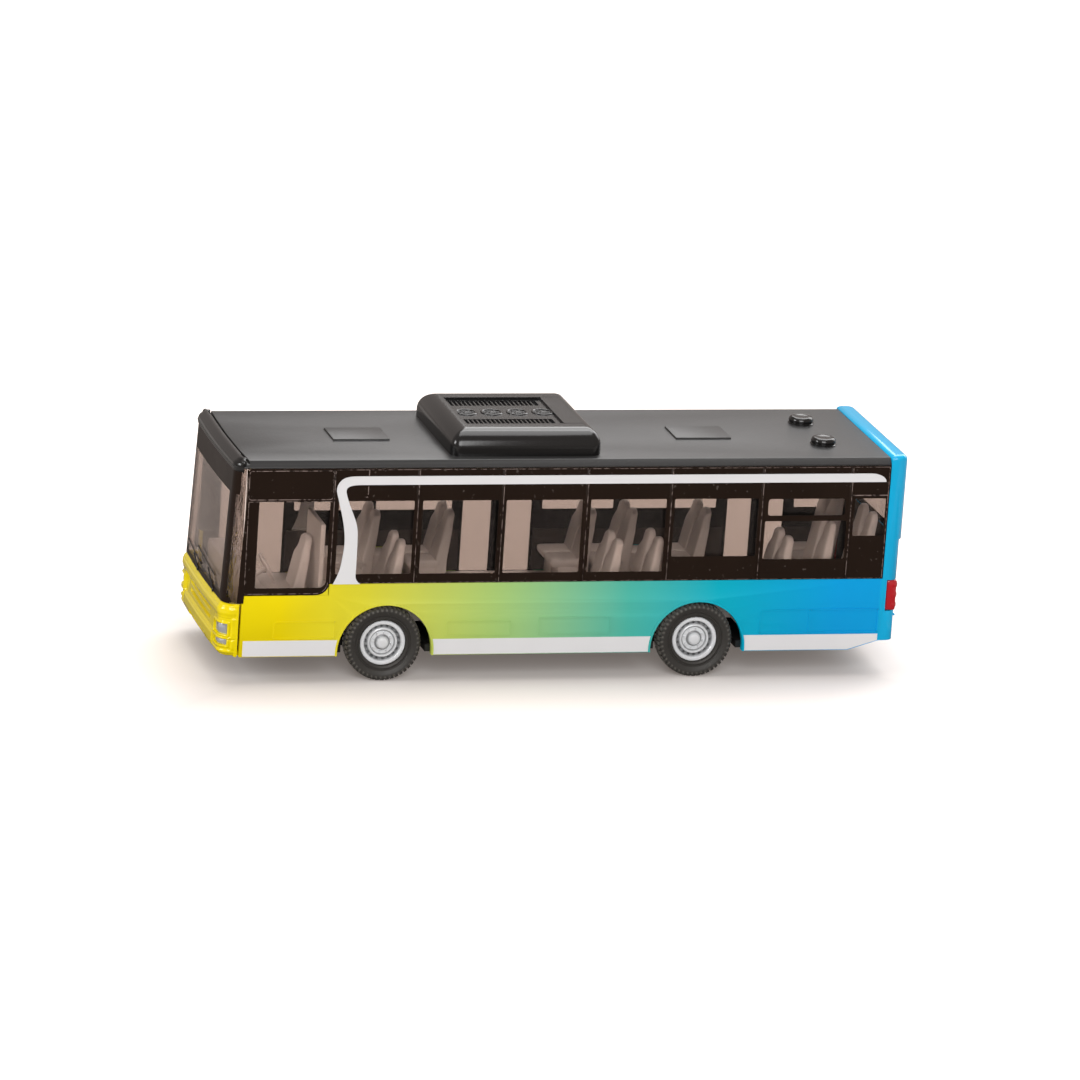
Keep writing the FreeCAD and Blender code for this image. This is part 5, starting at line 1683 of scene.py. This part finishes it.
@dataclass
class Wheel:
    """One hub and tyre. Profiles give a distance from a rim, tread or axle and one from the wheel's face."""

    finishes: Finishes
    end: End
    side: Side
    radius: float = 5.35
    rim: float = 3.2
    face: float = 13.0
    width: float = 3.2
    sunk: float = 0.6
    lugs: int = 46
    lug_height: float = 0.2
    nuts: int = 8
    nut_circle: float = 1.37
    bead: Pairs = ((0.0, 0.75), (0.12, 0.45), (0.35, 0.3), (0.45, 0.42), (0.62, 0.42), (0.75, 0.25))
    shoulder: Pairs = (
        (0.7, 0.0), (0.55, 0.02), (0.42, 0.1), (0.3, 0.3), (0.24, 0.75), (0.22, 1.0), (0.2, 1.02), (0.12, 1.06),
        (0.12, 1.5), (0.24, 1.52))
    disc: Pairs = (
        (0.0, 0.2), (0.45, 0.19), (0.68, 0.12), (0.8, -0.02), (0.86, -0.2), (0.92, -0.42), (1.1, -0.5), (1.55, -0.52),
        (1.72, -0.5), (1.8, -0.34), (1.86, -0.22), (1.96, -0.2), (2.06, -0.26), (2.13, -0.5), (2.18, -0.58),
        (2.5, -0.62), (2.56, -0.5), (2.62, -0.16), (2.72, -0.04), (2.9, 0.0), (3.08, -0.03), (3.16, -0.1),
        (3.2, -0.22), (3.2, -2.1), (0.9, -2.1), (0.75, -2.1), (0.75, -1.9), (0.0, -1.9))

    @property
    def x(self) -> float:
        """Give the axle's place along the bus."""
        return LINES.axle_of(self.end)

    def at(self, y: float) -> float:
        """Give a place along the axle on this wheel's side."""
        return self.side.value * y

    def spun(self, form: Form, profile: Pairs, steps: int, closed: bool) -> list:
        """Spin a profile of radius and place along the axle, and give its faces."""
        return form.turned(tuple((r, self.at(y)) for r, y in profile), (self.x, 0.0, LINES.axle_z), steps, closed)

    def polar(self, face: bmesh.types.BMFace) -> Triple:
        """Give a face's distance from the axle, its angle about it and its place along it."""
        middle = face.calc_center_median()
        across, up = middle.x - self.x, middle.z - LINES.axle_z
        return math.hypot(across, up), math.atan2(up, across), abs(middle.y)

    @staticmethod
    def lifted(form: Form, faces: list) -> list:
        """Extrude faces, drop the old ones and give the new vertices.

        Args:
            form: The form that has them.
            faces: The faces.

        Returns:
            The new vertices.
        """
        grown = bmesh.ops.extrude_face_region(form.mesh, geom=faces)["geom"]
        bmesh.ops.delete(form.mesh, geom=faces, context="FACES_KEEP_BOUNDARY")
        return [g for g in grown if isinstance(g, bmesh.types.BMVert)]

    def finish(self, form: Form, material: bpy.types.Material, slot: str, kind: str) -> None:
        """Make the piece, which rides on its axle."""
        node = f"{self.end.value}_{kind}_{self.side.key}"
        form.done(material, slot, self.end.value + "_wheelset", (node,), angle=28)

    def tyre(self) -> None:
        """Build the tyre: a spun ring with raised lugs on both shoulders."""
        form = Form(f"{self.end.value}_tyre_tread_{self.side.key}")
        r, rim, f, w = self.radius, self.rim, self.face, self.width
        profile = (*((rim + a, f - b) for a, b in self.bead), (r - 0.95, f - 0.08),
                   *((r - a, f - b) for a, b in self.shoulder), *((r - a, f - w + b) for a, b in self.shoulder[::-1]),
                   (rim + 0.2, f - w), (rim, f - w + 0.2))
        raised = []
        for face in self.spun(form, profile, self.lugs * 3, True):
            away, angle, along = self.polar(face)
            depth = along - (f - w)
            if away > r - 0.5 and (depth > w - 0.98 or depth < 0.98) and angle / math.tau * self.lugs % 1.0 < 0.66:
                raised.append(face)
        for vert in self.lifted(form, raised):
            radial = Vector((vert.co.x - self.x, 0, vert.co.z - LINES.axle_z))
            vert.co += radial.normalized() * min(self.lug_height, r - radial.length)
        self.finish(form, self.finishes.tyres[self.end], "tyre", "tyre")

    def hub(self) -> None:
        """Build the hub: a spun disc with hand holes, nuts and a cap."""
        form = Form(f"{self.end.value}_hub_face_{self.side.key}")
        f = self.face - self.sunk
        holes = []
        for face in self.spun(form, tuple((r, f + out) for r, out in self.disc), 72, False):
            away, angle, along = self.polar(face)
            if 2.2 < away < 2.48 and along > f - 0.7 and math.degrees(angle) % 20.0 < 10.0:
                holes.append(face)
        bmesh.ops.translate(form.mesh, vec=(0, self.at(-0.45), 0), verts=self.lifted(form, holes))
        for nut in range(self.nuts):
            angle = math.tau * (nut + 0.25) / self.nuts
            x, z = self.x + self.nut_circle * math.cos(angle), LINES.axle_z + self.nut_circle * math.sin(angle)
            form.rod((x, self.at(f - 0.6), z), (x, self.at(f - 0.16), z), 0.22, 0.17, 6)
        self.finish(form, self.finishes.hubs[self.end], "hub_silver", "hub")

    def build(self) -> None:
        """Build the wheel."""
        self.tyre()
        self.hub()


@dataclass(frozen=True)
class SeatSize:
    """One moulded seat: where its back stands behind the front edge, its height and its width."""

    place: float
    height: float
    low_y: float
    width: float


@dataclass
class Cabin:
    """The grey inside moulding: the seats in two rows, the driver's seat and the steering wheel."""

    finishes: Finishes
    floor: float = 8.2
    knee: float = 4.2
    length: float = 4.0
    thickness: float = 1.7
    crest: float = 1.0
    lean: float = math.tan(math.radians(8.0))
    rear: float = 91.4
    seats_y: Pair = (3.52, 7.72)
    seat_width: float = 3.88
    driver_size: SeatSize = SeatSize(7.8, 11.4, 4.95, 4.8)
    steering_at: Triple = (40.72, 7.35, 14.85)
    steering_tilt: float = -62.0
    steering_boss: Pairs = ((0.0, 0.14), (0.4, 0.12), (0.52, 0.0), (0.4, -0.2), (0.0, -0.24))
    spokes: tuple[float, ...] = (0.0, 2.3, -2.3)
    cushion: tuple[Triple, ...] = (
        (-1.25, 0.55, 0.2), (-1.1, 0.3, 0.06), (-0.75, 0.08, 0.0), (-0.35, 0.0, 0.0), (-0.12, 0.1, 0.04),
        (-0.02, 0.3, 0.16), (0.02, 0.6, 0.4))
    left: Pairs = ((20.6, 11.2), (51.6, 11.0), (57.4, 11.2), (-15.2, 11.2), (-9.4, 13.2), (-3.6, 14.6))
    right: Pairs = ((20.6, 11.0), (31.2, 11.0), (51.8, 11.0), (57.8, 11.0), (-22.8, 11.0), (-3.6, 14.6))

    def seat(self, form: Form, size: SeatSize) -> None:
        """Build one seat: a plinth, a rounded cushion and a high back that narrows to its headrest.

        Args:
            form: The form that takes it.
            size: Its place and size.
        """
        x, low, high = LINES.x(size.place), size.low_y, size.low_y + size.width
        top, knee = self.floor + size.height, self.floor + self.knee
        form.box((x - self.thickness + 0.1, low + 0.12, self.floor), (x + self.length - 1.3, high - 0.12, knee - 1.0),
                 0.15, 2)
        loops = []
        for up, front, side in self.cushion:
            loops.append([(px, py, knee + up) for px, py in rounded(
                (x - 0.9, low + side), (x + self.length - front, high - side), (0.25, 0.55, 0.55, 0.25), 4)])
        form.risen(loops)
        loops = []
        middle = (low + high) / 2
        for step in range(19):
            t = step / 18
            z = self.floor + 2.4 + (size.height - 2.4) * t
            rise = max(0.0, (z - knee) / (top - knee))
            shoulder = smooth(rise, 0.56, 0.78)
            dome = math.sqrt(max(0.0, 1 - smooth(rise, 0.9, 1.0) ** 2 * 0.72))
            half = size.width / 2 * (1 - 0.36 * shoulder) * dome
            depth = (self.thickness - (self.thickness - self.crest) * rise) * (0.55 + 0.45 * dome)
            face = x - self.lean * (size.height * rise) - 0.12 * shoulder
            centre = face - (self.thickness - (self.thickness - self.crest) * rise) / 2
            loops.append([(px, py, z) for px, py in rounded(
                (centre - depth / 2, middle - half), (centre + depth / 2, middle + half),
                (min(0.32, depth * 0.36, half * 0.5),), 3)])
        form.risen(loops)

    def rows(self) -> None:
        """Build both rows of double seats."""
        for side, places in ((Side.LEFT, self.left), (Side.RIGHT, self.right)):
            form = Form("seat_row_" + side.key)
            for place, height in places:
                place = place if place >= 0 else self.rear + place
                for near in self.seats_y:
                    low = near if side is Side.LEFT else -near - self.seat_width
                    self.seat(form, SeatSize(place, height, low, self.seat_width))
            form.done(self.finishes.inside, "interior_plastic", replaces=("seats_" + side.key,), angle=45)

    def driver(self) -> None:
        """Build the driver's seat."""
        form = Form("driver_seat_shell")
        self.seat(form, self.driver_size)
        form.done(self.finishes.inside, "interior_plastic", replaces=("driver_seat",), angle=45)

    def steering(self) -> None:
        """Build the steering wheel, which leans a little to the driver, on its column."""
        form = Form("steering_wheel_ring")
        ring = tuple((2.08 + 0.22 * math.cos(a), 0.22 * math.sin(a)) for a in (math.tau * k / 12 for k in range(12)))
        form.turned(ring, (0, 0, 0), 48, closed=True, axis="Z")
        form.turned(self.steering_boss, (0, 0, 0), 24, axis="Z")
        for angle in self.spokes:
            form.rod((0.3 * math.cos(angle), 0.3 * math.sin(angle), -0.06),
                     (2.0 * math.cos(angle), 2.0 * math.sin(angle), 0.0), 0.2, 0.15, 10)
        form.rod((0, 0, -0.1), (0, 0, -2.6), 0.3, 0.42, 16)
        form.move(Matrix.Translation(self.steering_at) @ Matrix.Rotation(math.radians(self.steering_tilt), 4, "Y"))
        form.done(self.finishes.inside, "chassis_plastic", replaces=("steering_wheel",), angle=50)

    def build(self) -> None:
        """Build the seats and the steering wheel."""
        self.rows()
        self.driver()
        self.steering()


@dataclass
class Softened:
    """Pieces that keep their CAD shape and get softened edges."""

    finishes: Finishes

    def build(self) -> None:
        """Build each piece from a merged copy of its node."""
        kinds = self.finishes
        for node, material, slot, width, segments in (
                ("driver_partition", kinds.inside, "interior_plastic", 0.15, 2),
                ("dashboard", kinds.inside, "interior_plastic", 0.3, 3),
                ("cabin_floor", kinds.inside, "interior_plastic", 0.1, 2),
                ("wheel_boxes", kinds.inside, "interior_plastic", 0.2, 2),
                ("front_axle", kinds.axle, "axle_steel", 0.0, 1),
                ("rear_axle", kinds.axle, "axle_steel", 0.0, 1),
                ("rivets", kinds.rivet, "rivet_steel", 0.0, 1),
                ("chassis_plate", kinds.chassis, "chassis_plastic", 0.0, 1)):
            form = Form(node + "_soft")
            form.from_node(node)
            body = node.replace("axle", "wheelset") if "axle" in node else "bus"
            form.done(material, slot, body, (node,), bevel=width, segments=segments)


def main() -> None:
    """Build the studio and the toy, piece by piece."""
    logging.basicConfig(level=logging.INFO, format="%(name)s: %(message)s")
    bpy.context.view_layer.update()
    PhotoCamera().place()
    Studio().build()
    bpy.context.scene.view_settings.view_transform = "Standard"
    finishes = Finishes()
    Flanks(finishes).build()
    RearEnd(finishes).build()
    Roof(finishes).build()
    RoofUnit(finishes).build()
    Front(finishes).build()
    Cabin(finishes).build()
    SideBand(finishes, Side.LEFT, PANES_LEFT, (), (12.05, 23.85, 35.85, 47.8, 59.8, 72.95, 85.8)).build()
    SideBand(finishes, Side.RIGHT, PANES_RIGHT, DOORS_RIGHT, (12.35, 24.0, 36.2, 48.2, 59.8, 75.0, 85.4)).build()
    Softened(finishes).build()
    for end in End:
        for side in Side:
            Wheel(finishes, end, side).build()
    dress(finishes.clear, "rear_window")


if __name__ == "__main__":
    main()
